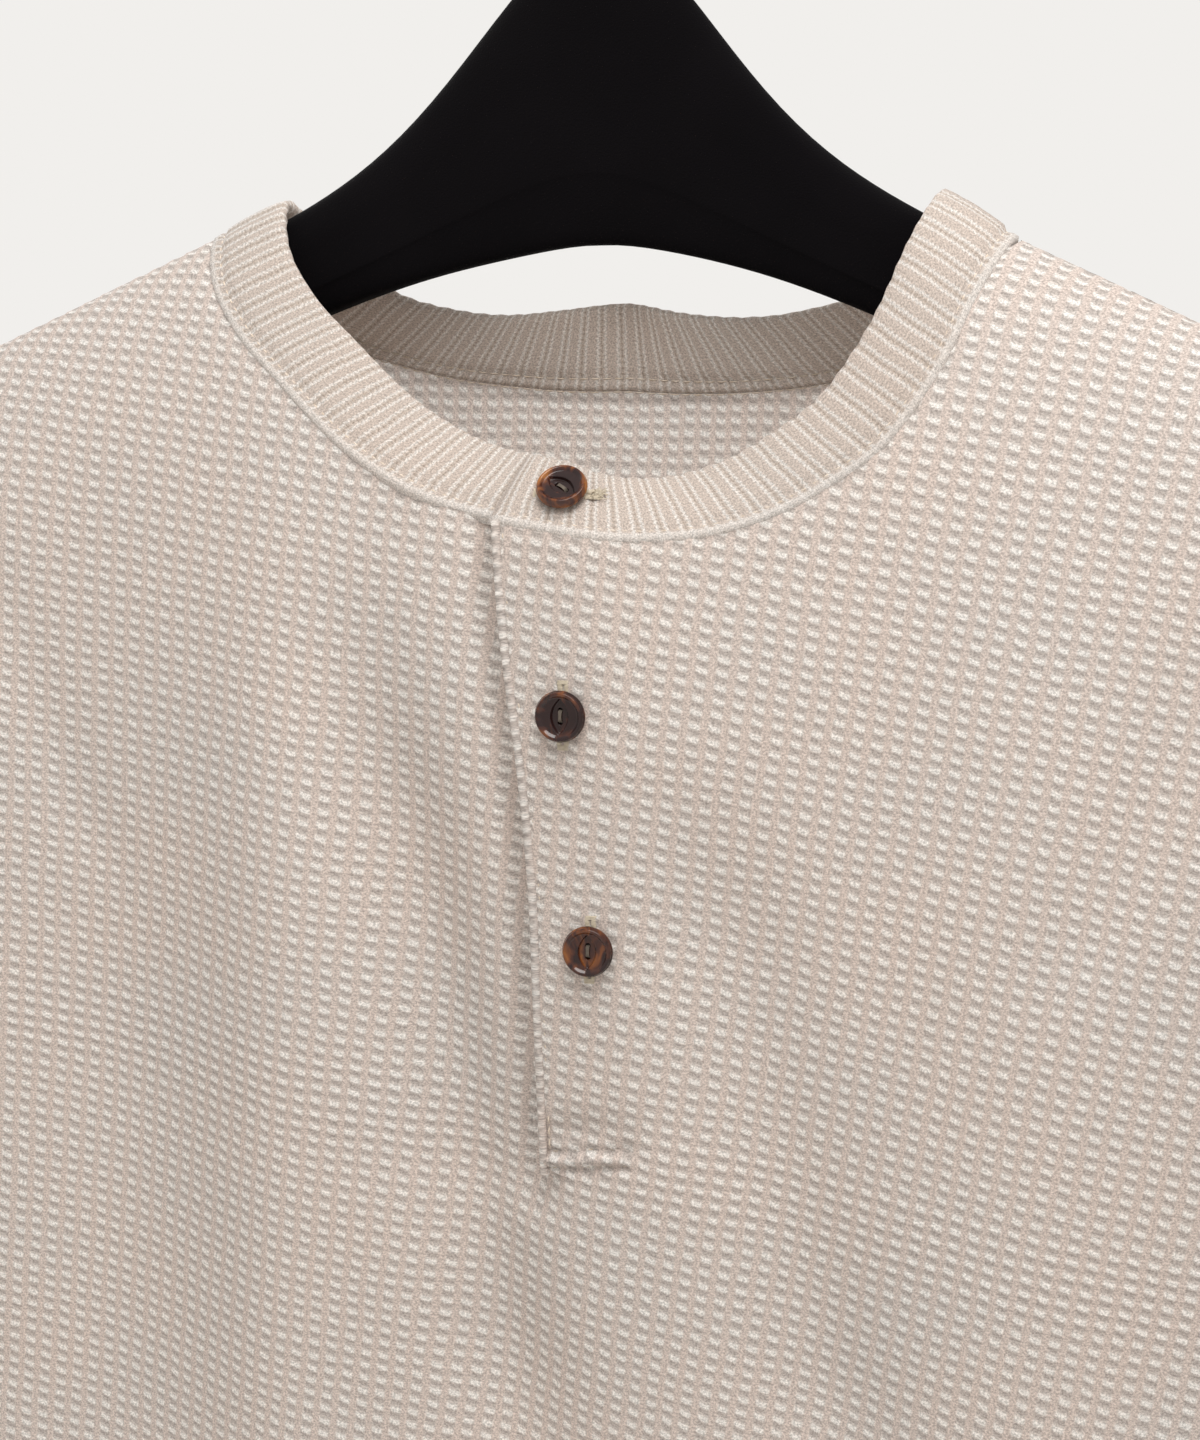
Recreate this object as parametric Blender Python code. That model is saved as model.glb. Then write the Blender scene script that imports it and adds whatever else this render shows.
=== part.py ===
"""A waffle-knit henley shirt on a wide flocked hanger.

Metres, +Z up. The origin is the inside top of the hanger's hook, where it hangs on a rod.
The shirt's front faces -Y and the wearer's left is +X, so the left placket laps over.
Each panel is a wall of cloth: a grid of points on the draped surface and the same points
moved inwards by the thickness. A cloth place is given by x, and by t, its height on the
cloth before the cloth bends over the hanger's arm.
"""
import math

import bpy
import numpy as np

# ---- the hanger ----------------------------------------------------------------------------
HOOK_INNER_R = 0.018       # inside radius of the hook
HOOK_WIRE_R = 0.0018
HANGER_PEAK_Z = -0.062     # top of the hump, under the hook
HUMP_HEIGHT = 0.0355
HUMP_WIDTH = 0.038
HUMP_X = -0.0022            # it sits a little towards the wearer's right
HUMP_DEPTH = 0.0425        # how much deeper the body is under the hump
ARM_SLOPE = 0.460          # drop of the arms for each metre outwards
ARM_ROUND = 0.015          # how softly the two arms meet in the middle
ARM_TIP_X = 0.222
BODY_HEIGHT = 0.0285       # height of an arm where it leaves the hump
BODY_HALF_THICK = 0.0054   # half thickness in the middle
BODY_TAPER = 0.030         # height lost for each metre outwards
TIP_HALF_THICK = 0.0066    # half thickness near the tips

# ---- the shirt -----------------------------------------------------------------------------
CLOTH = 0.0015             # thickness of one layer
GAP = 0.0003               # between pieces that touch
RIDGE_TOP = -0.0843        # height where the two shoulder lines would meet
RIDGE_ROUND = 0.030
NECK_HALF = 0.0975         # middle of the neck to the seam at the shoulder
SHOULDER_X = 0.235         # middle to the armhole seam
CHEST_X = 0.262            # middle to the side seam
UNDERARM_T = -0.360        # where the armhole turns into the side seam
HEM_T = -0.835
DRAPE_DEPTH = 0.024        # how far each side hangs in front of the arm, or behind it
DRAPE_ROUND = 0.024        # how soon it gets there
BULGE = 0.016              # how much further the front stands off at the neck
BULGE_WIDTH = 0.065
BULGE_T = -0.200           # below this height it fades
BULGE_FADE = 0.15
SETTLE = 0.030             # run of cloth over which the folds begin below the arm
OPEN_ARMHOLE = 0.050       # how much fuller the section is up by the armholes
ARMHOLE_FADE = 0.12        # height over which it gets so
RIDGE_FORWARD = 0.008      # the arms bow forward at their tips
BAND_WIDTH = 0.020
BAND_THICK = 0.0022        # the neckband is folded double

# ---- the placket and the buttons -----------------------------------------------------------
PLACKET_WIDTH = 0.026
PLACKET_END_T = -0.3512    # the box seam at its foot
UNDERLAP = 0.005           # how far the right front runs under the placket's edge
STEP = 0.0037              # how much lower it lies there
STEP_REACH = 0.018         # how far from the edge it has risen again
STEP_FOOT = 0.016          # height over which it begins above the box seam
BUTTON_R = 0.00575
BUTTON_THICK = 0.0030
BUTTON_IN = (0.0127, 0.0139)   # button centres to the placket's free edge
BUTTON_T = (-0.2454, -0.2981)
BAND_BUTTON_COLUMN = 2     # the neckband's button sits on this column of the strip
BAND_DIP = 0.0042          # how far behind the upper end the neckband's under end lies
BACK_MIDDLE = 0.012        # width of the back's middle column

# Seam between the neckband and the front: x across, z height in space.
FRONT_NECK = np.array([
    (-0.0975, -0.1312), (-0.0915, -0.1430), (-0.0830, -0.1535), (-0.0690, -0.1655),
    (-0.0480, -0.1815), (-0.0280, -0.1910), (0.0000, -0.1968), (0.0260, -0.1985),
    (0.0430, -0.1960), (0.0630, -0.1868), (0.0800, -0.1715), (0.0880, -0.1570),
    (0.0930, -0.1430), (0.0975, -0.1312)])
# The same for the back.
BACK_NECK = np.array([
    (-0.0975, -0.1312), (-0.0895, -0.1440), (-0.0750, -0.1540), (-0.0550, -0.1605),
    (-0.0250, -0.1645), (0.0040, -0.1652), (0.0300, -0.1645), (0.0580, -0.1603),
    (0.0770, -0.1535), (0.0900, -0.1435), (0.0975, -0.1312)])
# Armhole and side seam: height t, half width x.
OUTER_EDGE = np.array([
    (-0.1880, SHOULDER_X), (-0.2200, 0.2285), (-0.2600, 0.2235), (-0.3000, 0.2230),
    (-0.3350, 0.2310), (UNDERARM_T, 0.2450), (-0.3780, CHEST_X), (-0.4100, CHEST_X),
    (HEM_T, CHEST_X)])
# Free edge of the placket: height t, x.
PLACKET_EDGE = np.array([
    (-0.190, -0.0108), (-0.226, -0.0074), (-0.262, -0.0024), (-0.286, -0.0003),
    (-0.312, 0.0004), (-0.352, 0.0014)])
# Lean of the neckband from upright, by the angle round the neck, 0 at the middle front.
BAND_LEAN = np.array([(-180, 8), (-135, 30), (-90, 63), (-45, 52), (0, 42), (45, 52),
                      (90, 58), (135, 30), (180, 8)])

# Soft folds: where each starts and ends, its half width and how far it stands out.
FOLD_COLUMNS = ("x_top", "t_top", "x_low", "t_low", "half_width", "height")
FRONT_FOLDS = (
    (-0.066, -0.210, -0.060, -0.700, 0.020, 0.0060),
    (-0.120, -0.240, -0.112, -0.760, 0.030, -0.0090),
    (-0.044, -0.235, 0.000, -0.430, 0.017, -0.0060),
    (0.000, -0.430, 0.010, -0.800, 0.026, -0.0050),
    (0.037, -0.270, 0.072, -0.420, 0.018, -0.0042),
    (0.072, -0.400, 0.086, -0.780, 0.024, -0.0055),
    (0.108, -0.200, 0.118, -0.700, 0.030, 0.0050),
    (0.176, -0.330, 0.166, -0.840, 0.026, -0.0085),
    (-0.180, -0.340, -0.172, -0.840, 0.024, -0.0070))
BACK_FOLDS = (
    (-0.130, -0.250, -0.120, -0.800, 0.034, -0.0080),
    (0.020, -0.300, -0.010, -0.840, 0.040, -0.0060),
    (0.140, -0.230, 0.118, -0.780, 0.030, -0.0085),
    (0.075, -0.260, 0.060, -0.700, 0.026, 0.0045),
    (-0.060, -0.220, -0.056, -0.720, 0.028, 0.0050))
# Sleeve sections from the shoulder down: the upper and the under point, and half the depth.
SLEEVE_COLUMNS = ("top_x", "top_z", "under_x", "under_z", "half_depth")
SLEEVE_SECTIONS = (
    (0.2660, -0.2045, 0.2664, -0.3900, 0.0270),
    (0.3000, -0.2290, 0.2686, -0.4030, 0.0340),
    (0.3370, -0.2730, 0.2690, -0.4210, 0.0390),
    (0.3610, -0.3350, 0.2690, -0.4460, 0.0410),
    (0.3730, -0.4100, 0.2690, -0.4790, 0.0410),
    (0.3750, -0.5000, 0.2700, -0.5350, 0.0380),
    (0.3700, -0.5900, 0.2730, -0.6100, 0.0340),
    (0.3640, -0.6780, 0.2770, -0.6880, 0.0290),
    (0.3580, -0.7500, 0.2810, -0.7540, 0.0240),
    (0.3550, -0.7960, 0.2830, -0.7960, 0.0210))

# ---- how finely the walls are cut ----------------------------------------------------------
NECK_COLUMNS = 9           # between a shoulder's neck point and the placket
SHOULDER_COLUMNS = 6
UPPER_ROWS = 12            # neck to the foot of the placket
LOWER_ROWS = 8
UPPER_SHARES = np.linspace(0, 1, UPPER_ROWS + 1)[:, None] ** 1.5
SLEEVE_RING = 24
STRIP_COLUMNS = 4

KNIT = ((0.58, 0.52, 0.46), 0.90, 0.0)
HORN = ((0.055, 0.022, 0.010), 0.22, 0.0)
FLOCK = ((0.006, 0.006, 0.007), 0.95, 0.0)
STEEL = ((0.62, 0.62, 0.63), 0.25, 1.0)


def smooth_table(value, table, column=1):
    """Read a table's column at a value of its first column, on a smooth curve."""
    order = np.argsort(table[:, 0])
    xs = table[order, 0]
    ys = table[order, column]
    slopes = np.gradient(ys, xs)
    value = np.clip(value, xs[0], xs[-1])
    i = np.clip(np.searchsorted(xs, value) - 1, 0, len(xs) - 2)
    width = xs[i + 1] - xs[i]
    s = (value - xs[i]) / width
    rise = ys[i + 1] - ys[i]
    a = slopes[i] * width - rise
    b = rise - slopes[i + 1] * width
    return ys[i] + s * rise + s * (1 - s) * (a * (1 - s) + b * s)


def smooth_step(value):
    """Rise softly from 0 to 1 as the value goes from 0 to 1."""
    value = np.clip(value, 0.0, 1.0)
    return value * value * (3 - 2 * value)


def hanger_top(x):
    """Height of the hanger's upper edge."""
    hump = HUMP_HEIGHT * (1 - np.exp(-((x - HUMP_X) / HUMP_WIDTH) ** 2))
    arm = ARM_SLOPE * (np.hypot(x, ARM_ROUND) - ARM_ROUND)
    return HANGER_PEAK_Z - hump - arm


def hanger_height(x):
    """Height of the hanger's body at x, from its upper to its lower edge."""
    hump = HUMP_DEPTH * np.exp(-((x - HUMP_X) / HUMP_WIDTH) ** 2)
    return BODY_HEIGHT + hump - BODY_TAPER * np.abs(x)


def ridge_y(x):
    """How far forward the shoulder line lies."""
    return -RIDGE_FORWARD * (x / SHOULDER_X) ** 2


def ridge_z(x):
    """Height of the shoulder line, carried on across the neck."""
    return RIDGE_TOP - ARM_SLOPE * np.hypot(x, RIDGE_ROUND)


def drape_drop(run):
    """How far down the cloth is after a run of it has come over the arm."""
    turns = np.maximum(run, 0.0) / DRAPE_ROUND
    fall = np.sqrt(1 - np.exp(-2 * turns))
    return DRAPE_ROUND * (np.log1p(fall) + turns - fall)


def cloth_height(x, z):
    """The cloth height t of a place seen at height z."""
    runs = np.linspace(0.0, 1.0, 20001)
    run = np.interp(ridge_z(x) - z, drape_drop(runs), runs)
    return ridge_z(x) - run


def folds(table, x, t):
    """Sum of the soft folds at a place."""
    total = np.zeros(np.broadcast(x, t).shape)
    for row in table:
        fold = dict(zip(FOLD_COLUMNS, row))
        length = fold["t_top"] - fold["t_low"]
        along = (fold["t_top"] - t) / length
        centre = fold["x_top"] + (fold["x_low"] - fold["x_top"]) * np.clip(along, -0.3, 1.3)
        across = np.exp(-((x - centre) / fold["half_width"]) ** 2)
        ends = smooth_step((along + 0.15) / 0.35) * smooth_step((1.15 - along) / 0.35)
        total = total + fold["height"] * across * ends
    return total


def placket_edge(t):
    """Where the placket's free edge lies at a cloth height."""
    return smooth_table(t, PLACKET_EDGE)


def torso_point(x, t, side):
    """A point of the draped torso: side is -1 on the front and 1 on the back."""
    run = np.maximum(ridge_z(x) - t, 0.0)
    reach = CHEST_X + OPEN_ARMHOLE * smooth_step((t - UNDERARM_T) / ARMHOLE_FADE)
    edge = np.sqrt(np.maximum(1 - np.minimum(np.abs(x) / reach, 1.0) ** 4, 0.0))
    depth = DRAPE_DEPTH * (1 - np.exp(-run / DRAPE_ROUND))
    settled = 1 - np.exp(-run / SETTLE)
    table = FRONT_FOLDS
    if side > 0:
        table = BACK_FOLDS
    depth = depth + folds(table, x, t) * settled
    if side < 0:
        low = np.maximum(BULGE_T - t, 0.0) / BULGE_FADE
        depth = depth + BULGE * settled * np.exp(-(x / BULGE_WIDTH) ** 2 - low ** 2)
    y = ridge_y(x) + side * (GAP / 2 + depth * edge)
    z = ridge_z(x) - drape_drop(run)
    return np.stack(np.broadcast_arrays(x, y, z), axis=-1)


def front_point(x, t):
    """A point of the front."""
    return torso_point(x, t, -1)


def torso_inside(points, normals, side):
    """Inner points of a torso wall, kept on its own side of the seams."""
    inner = points - normals * CLOTH
    seam = ridge_y(inner[..., 0]) + side * GAP / 2
    inner[..., 1] = side * np.maximum(side * inner[..., 1], side * seam)
    return inner


def slit_drop(x, t):
    """How far the right front sinks beside the placket, to pass under it."""
    beside = np.maximum(placket_edge(t) + UNDERLAP - x, 0.0)
    below = smooth_step((t - PLACKET_END_T + STEP_FOOT) / STEP_FOOT)
    return STEP * np.exp(-beside / STEP_REACH) * below


def grid_normals(points, wrap=False):
    """Unit normals of a grid of points, along rows crossed with down columns."""
    if wrap:
        across = np.roll(points, -1, axis=1) - np.roll(points, 1, axis=1)
    else:
        across = np.gradient(points, axis=1)
    normal = np.cross(np.gradient(points, axis=0), across)
    return normal / np.linalg.norm(normal, axis=-1, keepdims=True)


def material(name, finish):
    """A plain Principled material: colour, roughness and metallic."""
    colour, roughness, metallic = finish
    made = bpy.data.materials.get(name) or bpy.data.materials.new(name)
    made.use_nodes = True
    shader = made.node_tree.nodes["Principled BSDF"]
    shader.inputs["Base Color"].default_value = (*colour, 1.0)
    shader.inputs["Roughness"].default_value = roughness
    shader.inputs["Metallic"].default_value = metallic
    return made


def add_mesh(name, vertices, faces, finish_name, finish):
    """Put one mesh object in the scene, shaded smooth with its sharp edges kept."""
    mesh = bpy.data.meshes.new(name)
    mesh.from_pydata([tuple(map(float, v)) for v in vertices], [], faces)
    mesh.validate()
    mesh.materials.append(material(finish_name, finish))
    mesh.shade_smooth()
    mesh.set_sharp_from_angle(angle=math.radians(40))
    thing = bpy.data.objects.new(name, mesh)
    bpy.context.scene.collection.objects.link(thing)
    return thing


def wall(name, outer, inner, present=None, wrap=False):
    """A closed wall between two grids of points; present says which cells are cloth."""
    rows, columns = outer.shape[:2]
    cells = columns if wrap else columns - 1
    if present is None:
        present = np.ones((rows - 1, cells), bool)
    size = rows * columns
    vertices = np.concatenate([outer.reshape(size, 3), inner.reshape(size, 3)])

    def corner(j, i):
        return j * columns + i % columns

    def is_cloth(j, i):
        if wrap:
            i = i % cells
        return 0 <= j < rows - 1 and 0 <= i < cells and present[j, i]

    faces = []
    for j in range(rows - 1):
        for i in range(cells):
            if not present[j, i]:
                continue
            a, b = corner(j, i), corner(j, i + 1)
            c, d = corner(j + 1, i + 1), corner(j + 1, i)
            faces.append((a, d, c, b))
            faces.append((a + size, b + size, c + size, d + size))
            sides = ((j - 1, i, a, b), (j, i + 1, b, c), (j + 1, i, c, d), (j, i - 1, d, a))
            for j2, i2, start, end in sides:
                if not is_cloth(j2, i2):
                    faces.append((start, end, end + size, start + size))
    used = sorted({index for face in faces for index in face})
    place = {old: new for new, old in enumerate(used)}
    faces = [tuple(place[index] for index in face) for face in faces]
    return add_mesh(name, vertices[used], faces, "waffle_knit", KNIT)


def neck_curve(table, x):
    """Cloth height of the neck seam at x, from its height in space."""
    return cloth_height(x, smooth_table(x, table))


def torso_columns(slit_width):
    """Column shares from -1 to 1, close together by each shoulder's neck point."""
    neck = NECK_HALF / SHOULDER_X
    outer = np.sin(np.linspace(0, math.pi / 2, SHOULDER_COLUMNS + 1))
    side = neck + (1 - neck) * outer
    close = np.linspace(0, 1, NECK_COLUMNS) ** 1.7
    left = -neck + neck * close
    right = neck + (slit_width / SHOULDER_X - neck) * close
    return np.concatenate([-side[:0:-1], left, right[::-1], side[1:]])


def outer_edge(t):
    """Half width of the torso at a cloth height: the armhole, then the side seam."""
    return smooth_table(t, OUTER_EDGE)


def column_x(shares, t, lean):
    """Where a column lies: straight in the middle, along the armhole at the sides."""
    width = SHOULDER_X + (outer_edge(t) - SHOULDER_X) * np.abs(shares) ** 3
    middle = 1 - np.minimum(np.abs(shares) * SHOULDER_X / NECK_HALF, 1.0) ** 4
    return shares * width + lean(t) * middle ** 2


def torso_grid(shares, neck_table, lean):
    """x and t of each point of a torso panel, rows from the neck and shoulders down."""
    top_x = column_x(shares, PLACKET_EDGE[0, 0], lean)
    on_shoulder = np.abs(shares) >= NECK_HALF / SHOULDER_X - 1e-9
    top_t = np.where(on_shoulder, ridge_z(top_x), neck_curve(neck_table, top_x)) - GAP
    lower = np.linspace(0, 1, LOWER_ROWS + 1)[1:]
    t = np.concatenate([
        top_t + (PLACKET_END_T - top_t) * UPPER_SHARES,
        PLACKET_END_T + (HEM_T - PLACKET_END_T) * lower[:, None] * np.ones_like(top_t)])
    return column_x(shares, t, lean), t


def front_lean(t):
    """How far the middle of the front has swung to the wearer's left."""
    return placket_edge(t) + UNDERLAP


def make_front():
    """The front, with the slit that the placket fills."""
    shares = torso_columns(PLACKET_WIDTH - UNDERLAP)
    x, t = torso_grid(shares, FRONT_NECK, front_lean)
    points = front_point(x, t)
    normals = grid_normals(points)
    last_left = SHOULDER_COLUMNS + NECK_COLUMNS - 1
    drop = slit_drop(x, t)
    drop[:, last_left + 1:] = 0.0
    points[..., 1] += drop
    present = np.ones((t.shape[0] - 1, len(shares) - 1), bool)
    present[:UPPER_ROWS, last_left] = False
    wall("front", points, torso_inside(points, normals, -1), present)
    return points


def no_lean(t):
    """The back hangs straight."""
    return 0.0 * t


def make_back():
    """The back, one panel."""
    shares = torso_columns(BACK_MIDDLE)
    x, t = torso_grid(shares, BACK_NECK, no_lean)
    points = torso_point(x, t, 1)[:, ::-1]
    wall("back", points, torso_inside(points, grid_normals(points), 1))
    return points[:, ::-1]


def strip(name, x_from, x_to, top, foot, drop):
    """A placket strip: a wall between two edges that lean with the placket."""
    across = np.linspace(0, 1, STRIP_COLUMNS)[None, :]
    start = PLACKET_EDGE[0, 0]
    t_top = top(x_from(start) + (x_to(start) - x_from(start)) * across)
    t = t_top + (foot - t_top) * UPPER_SHARES
    x = x_from(t) + (x_to(t) - x_from(t)) * across
    points = front_point(x, t)
    points[..., 1] += drop
    wall(name, points, points - grid_normals(points) * CLOTH)


def make_plackets():
    """The upper placket, and the under one that carries the buttons."""
    def top(x):
        return neck_curve(FRONT_NECK, x) - GAP
    strip("placket_upper", placket_edge,
          lambda t: placket_edge(t) + PLACKET_WIDTH - GAP, top, PLACKET_END_T + GAP, 0.0)
    strip("placket_under", lambda t: placket_edge(t) + UNDERLAP + GAP,
          lambda t: placket_edge(t) + PLACKET_WIDTH - 0.002, top, PLACKET_END_T + GAP, STEP)


def seam_points(table, xs, side):
    """Points of the neck seam in space, without the gap to the panel."""
    return torso_point(xs, neck_curve(table, xs), side)


def neck_columns(slit_width, lean):
    """x of the columns that meet the neck seam, from the wearer's right to the left."""
    shares = torso_columns(slit_width)
    shares = shares[np.abs(shares) <= NECK_HALF / SHOULDER_X + 1e-9]
    return column_x(shares, PLACKET_EDGE[0, 0], lean)


def band_path():
    """The neck seam from the upper end of the neckband round to its under end."""
    front = neck_columns(PLACKET_WIDTH - UNDERLAP, front_lean)
    back = neck_columns(BACK_MIDDLE, no_lean)
    edge = placket_edge(PLACKET_EDGE[0, 0])
    strip_x = edge + PLACKET_WIDTH * np.linspace(0, 1, STRIP_COLUMNS)
    right = np.concatenate([strip_x[:-1], front[NECK_COLUMNS:]])
    left = np.concatenate([front[:NECK_COLUMNS], strip_x[1:-1]])
    return np.concatenate([seam_points(FRONT_NECK, right[:-1], -1),
                           seam_points(BACK_NECK, back[::-1], 1),
                           seam_points(FRONT_NECK, left[1:], -1)])


def band_frame(path):
    """Way up the band and way out of it, at each point of the seam."""
    angle = np.arctan2(path[:, 0], -path[:, 1])
    lean = np.radians(smooth_table(np.degrees(angle), BAND_LEAN))
    flat = np.stack([-np.sin(angle), np.cos(angle), 0 * angle], axis=-1)
    up = flat * np.sin(lean)[:, None] + np.array([0, 0, 1.0]) * np.cos(lean)[:, None]
    along = np.gradient(path, axis=0)
    out = np.cross(along, up)
    out = out / np.linalg.norm(out, axis=-1, keepdims=True)
    return up, out


def make_neckband():
    """The neckband, which laps over itself at the middle front."""
    path = band_path()
    up, out = band_frame(path)
    late = (np.arange(len(path)) > len(path) // 2) & (path[:, 1] < 0)
    dip = BAND_DIP * smooth_step((path[:, 0] + 0.034) / 0.024) * late
    path = path + dip[:, None] * np.array([0.0, 1.0, 0.0])
    rise = np.array([2 * GAP, BAND_WIDTH * 0.5, BAND_WIDTH])[:, None, None]
    crown = np.array([0.0, 0.0006, 0.0])[:, None, None]
    mitre = np.array([BAND_THICK, 0.0, 0.0])[:, None, None]
    outer = (path + rise * up + crown * out)[::-1]
    inner = outer - out * BAND_THICK + mitre[::-1] * up
    wall("neckband", outer, inner)


def tube_ring(top, under, half_depth, side):
    """One sleeve section, from its upper point round the front to the under point."""
    turn = np.linspace(0, 2 * math.pi, SLEEVE_RING, endpoint=False)
    middle = (top + under) / 2
    reach = (top - under) / 2
    ring = middle + np.cos(turn)[:, None] * reach
    ring[:, 1] -= half_depth * np.sin(turn)
    ring[:, 0] *= side
    return ring


def armhole_ring(front, back, side):
    """The armhole's edge, from the shoulder down the front and up the back."""
    column = -1 if side > 0 else 0
    half = SLEEVE_RING // 2
    down = np.linspace(0, 1, half + 1)
    edges = []
    for panel in (front, back):
        edge = panel[:, column]
        pit = np.argmax(np.abs(edge[:, 0]) > CHEST_X - 1e-4)
        edge = edge[:pit + 1]
        length = np.concatenate(
            [[0.0], np.cumsum(np.linalg.norm(np.diff(edge, axis=0), axis=1))])
        even = down * length[-1]
        edges.append(np.stack([np.interp(even, length, edge[:, k]) for k in range(3)], axis=-1))
    ring = np.concatenate([edges[0], edges[1][-2:0:-1]])
    ring[:, 0] += side * (CLOTH + 2 * GAP)
    return ring


def make_sleeve(name, side, front, back):
    """A long sleeve hanging beside the body, open at the cuff."""
    rings = [armhole_ring(front, back, side)]
    table = np.array(SLEEVE_SECTIONS)
    columns = {key: table[:, i] for i, key in enumerate(SLEEVE_COLUMNS)}
    for i in range(len(table)):
        top = np.array([columns["top_x"][i], ridge_y(SHOULDER_X), columns["top_z"][i]])
        under = np.array([columns["under_x"][i], ridge_y(CHEST_X), columns["under_z"][i]])
        rings.append(tube_ring(top, under, columns["half_depth"][i], side))
    points = np.array(rings)
    if side < 0:
        points = np.roll(points[:, ::-1], 1, axis=1)
    normals = grid_normals(points, wrap=True)
    wall(name, points, points - normals * CLOTH, wrap=True)


def button_profile():
    """Half section of a button, from the middle of its face round to its back."""
    r, h = BUTTON_R, BUTTON_THICK
    return [(0.30 * r, h - 0.0011), (0.62 * r, h - 0.0009), (0.78 * r, h - 0.0001),
            (0.88 * r, h), (0.96 * r, h - 0.0003), (r, h - 0.0009), (0.98 * r, 0.0011),
            (0.86 * r, 0.0003), (0.60 * r, 0.0)]


def make_button(name, place, out):
    """A turned button lying on the cloth, its face along out."""
    steps = 32
    side = np.cross(out, (0.0, 0.0, 1.0))
    side = side / np.linalg.norm(side)
    up = np.cross(side, out)
    turn = np.linspace(0, 2 * math.pi, steps, endpoint=False)
    profile = button_profile()
    base = place + out * GAP * 2
    vertices = [base + out * (BUTTON_THICK - 0.0011)]
    for radius, height in profile:
        for angle in turn:
            ring = side * math.cos(angle) + up * math.sin(angle)
            vertices.append(base + ring * radius + out * height)
    vertices.append(base)
    last = len(vertices) - 1
    faces = []
    for i in range(steps):
        j = (i + 1) % steps
        faces.append((0, 1 + j, 1 + i))
        for k in range(len(profile) - 1):
            a, b = 1 + k * steps, 1 + (k + 1) * steps
            faces.append((a + i, a + j, b + j, b + i))
        end = 1 + (len(profile) - 1) * steps
        faces.append((last, end + i, end + j))
    return add_mesh(name, vertices, faces, "horn", HORN)


def make_buttons():
    """Two buttons down the placket and one on the neckband."""
    for number, (t, inward) in enumerate(zip(BUTTON_T, BUTTON_IN), start=2):
        x = placket_edge(t) + inward
        spread = np.array([-0.004, 0.0, 0.004])
        patch = front_point(x + spread[None, :], t - spread[:, None])
        make_button(f"button_{number}", patch[1, 1], grid_normals(patch)[1, 1])
    path = band_path()
    up, out = band_frame(path)
    place = path[BAND_BUTTON_COLUMN] + up[BAND_BUTTON_COLUMN] * BAND_WIDTH * 0.52
    out = out[BAND_BUTTON_COLUMN]
    make_button("button_1", place + out * 0.0006, out)


def hanger_section(x):
    """Section of the hanger's body at x: (forward, height) points round it."""
    top = float(hanger_top(x))
    height = float(hanger_height(x))
    share = smooth_step(abs(x) / ARM_TIP_X)
    half = BODY_HALF_THICK + (TIP_HALF_THICK - BODY_HALF_THICK) * float(share)
    shape = ((0.00, 0.00), (0.45, 0.03), (0.80, 0.12), (1.00, 0.30), (1.00, 0.50),
             (0.98, 0.76), (0.60, 0.97), (0.00, 1.00))
    ring = [(half * out, top - height * down) for out, down in shape]
    return ring + [(-y, z) for y, z in ring[-2:0:-1]]


def make_hanger():
    """The hanger's body: a shaped bar with a hump, and its steel hook."""
    reach = ARM_TIP_X - 0.004
    xs = np.sin(np.linspace(-math.pi / 2, math.pi / 2, 49)) * reach
    vertices = []
    for x in xs:
        for y, z in hanger_section(x):
            vertices.append((x, float(ridge_y(x)) - y, z))
    count = len(hanger_section(0.0))
    faces = []
    for i in range(len(xs) - 1):
        for k in range(count):
            n = (k + 1) % count
            faces.append((i * count + k, i * count + n,
                          (i + 1) * count + n, (i + 1) * count + k))
    for end, x in ((0, -ARM_TIP_X), (len(xs) - 1, ARM_TIP_X)):
        section = hanger_section(x)
        middle = sum(z for _, z in section) / len(section)
        vertices.append((x, float(ridge_y(x)), middle))
        tip = len(vertices) - 1
        for k in range(count):
            n = (k + 1) % count
            a, b = end * count + k, end * count + n
            faces.append((tip, b, a) if end == 0 else (tip, a, b))
    add_mesh("hanger_body", vertices, faces, "flock", FLOCK)


def make_hook():
    """The hook: a stem, a bend and a round crook that opens to one side."""
    radius = HOOK_INNER_R + HOOK_WIRE_R
    centre = np.array([0.0, -HOOK_INNER_R])
    foot = np.array([0.0, HANGER_PEAK_Z + GAP])
    turn = np.radians(np.linspace(-62, 205, 40))
    crook = centre + radius * np.stack([np.cos(turn), np.sin(turn)], axis=-1)
    tangent = np.array([math.cos(math.radians(28)), math.sin(math.radians(28))])
    controls = [foot, foot + (0, 0.012), crook[0] - tangent * 0.007, crook[0]]
    share = np.linspace(0, 1, 10)[:-1, None]
    weights = ((1 - share) ** 3, 3 * share * (1 - share) ** 2, 3 * share ** 2 * (1 - share),
               share ** 3)
    stem = sum(w * c for w, c in zip(weights, controls))
    route = np.concatenate([stem, crook])
    curve = bpy.data.curves.new("hanger_hook", "CURVE")
    curve.dimensions = "3D"
    curve.bevel_depth = HOOK_WIRE_R
    curve.bevel_resolution = 3
    curve.use_fill_caps = True
    spline = curve.splines.new("POLY")
    spline.points.add(len(route) - 1)
    for point, (x, z) in zip(spline.points, route):
        point.co = (x, 0.0, z, 1.0)
    curve.materials.append(material("steel", STEEL))
    hook = bpy.data.objects.new("hanger_hook", curve)
    bpy.context.scene.collection.objects.link(hook)


def main():
    """Build the shirt and its hanger."""
    for thing in list(bpy.data.objects):
        bpy.data.objects.remove(thing, do_unlink=True)
    make_hanger()
    make_hook()
    front = make_front()
    back = make_back()
    make_plackets()
    make_neckband()
    make_sleeve("sleeve_left", 1, front, back)
    make_sleeve("sleeve_right", -1, front, back)
    make_buttons()


main()
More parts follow.
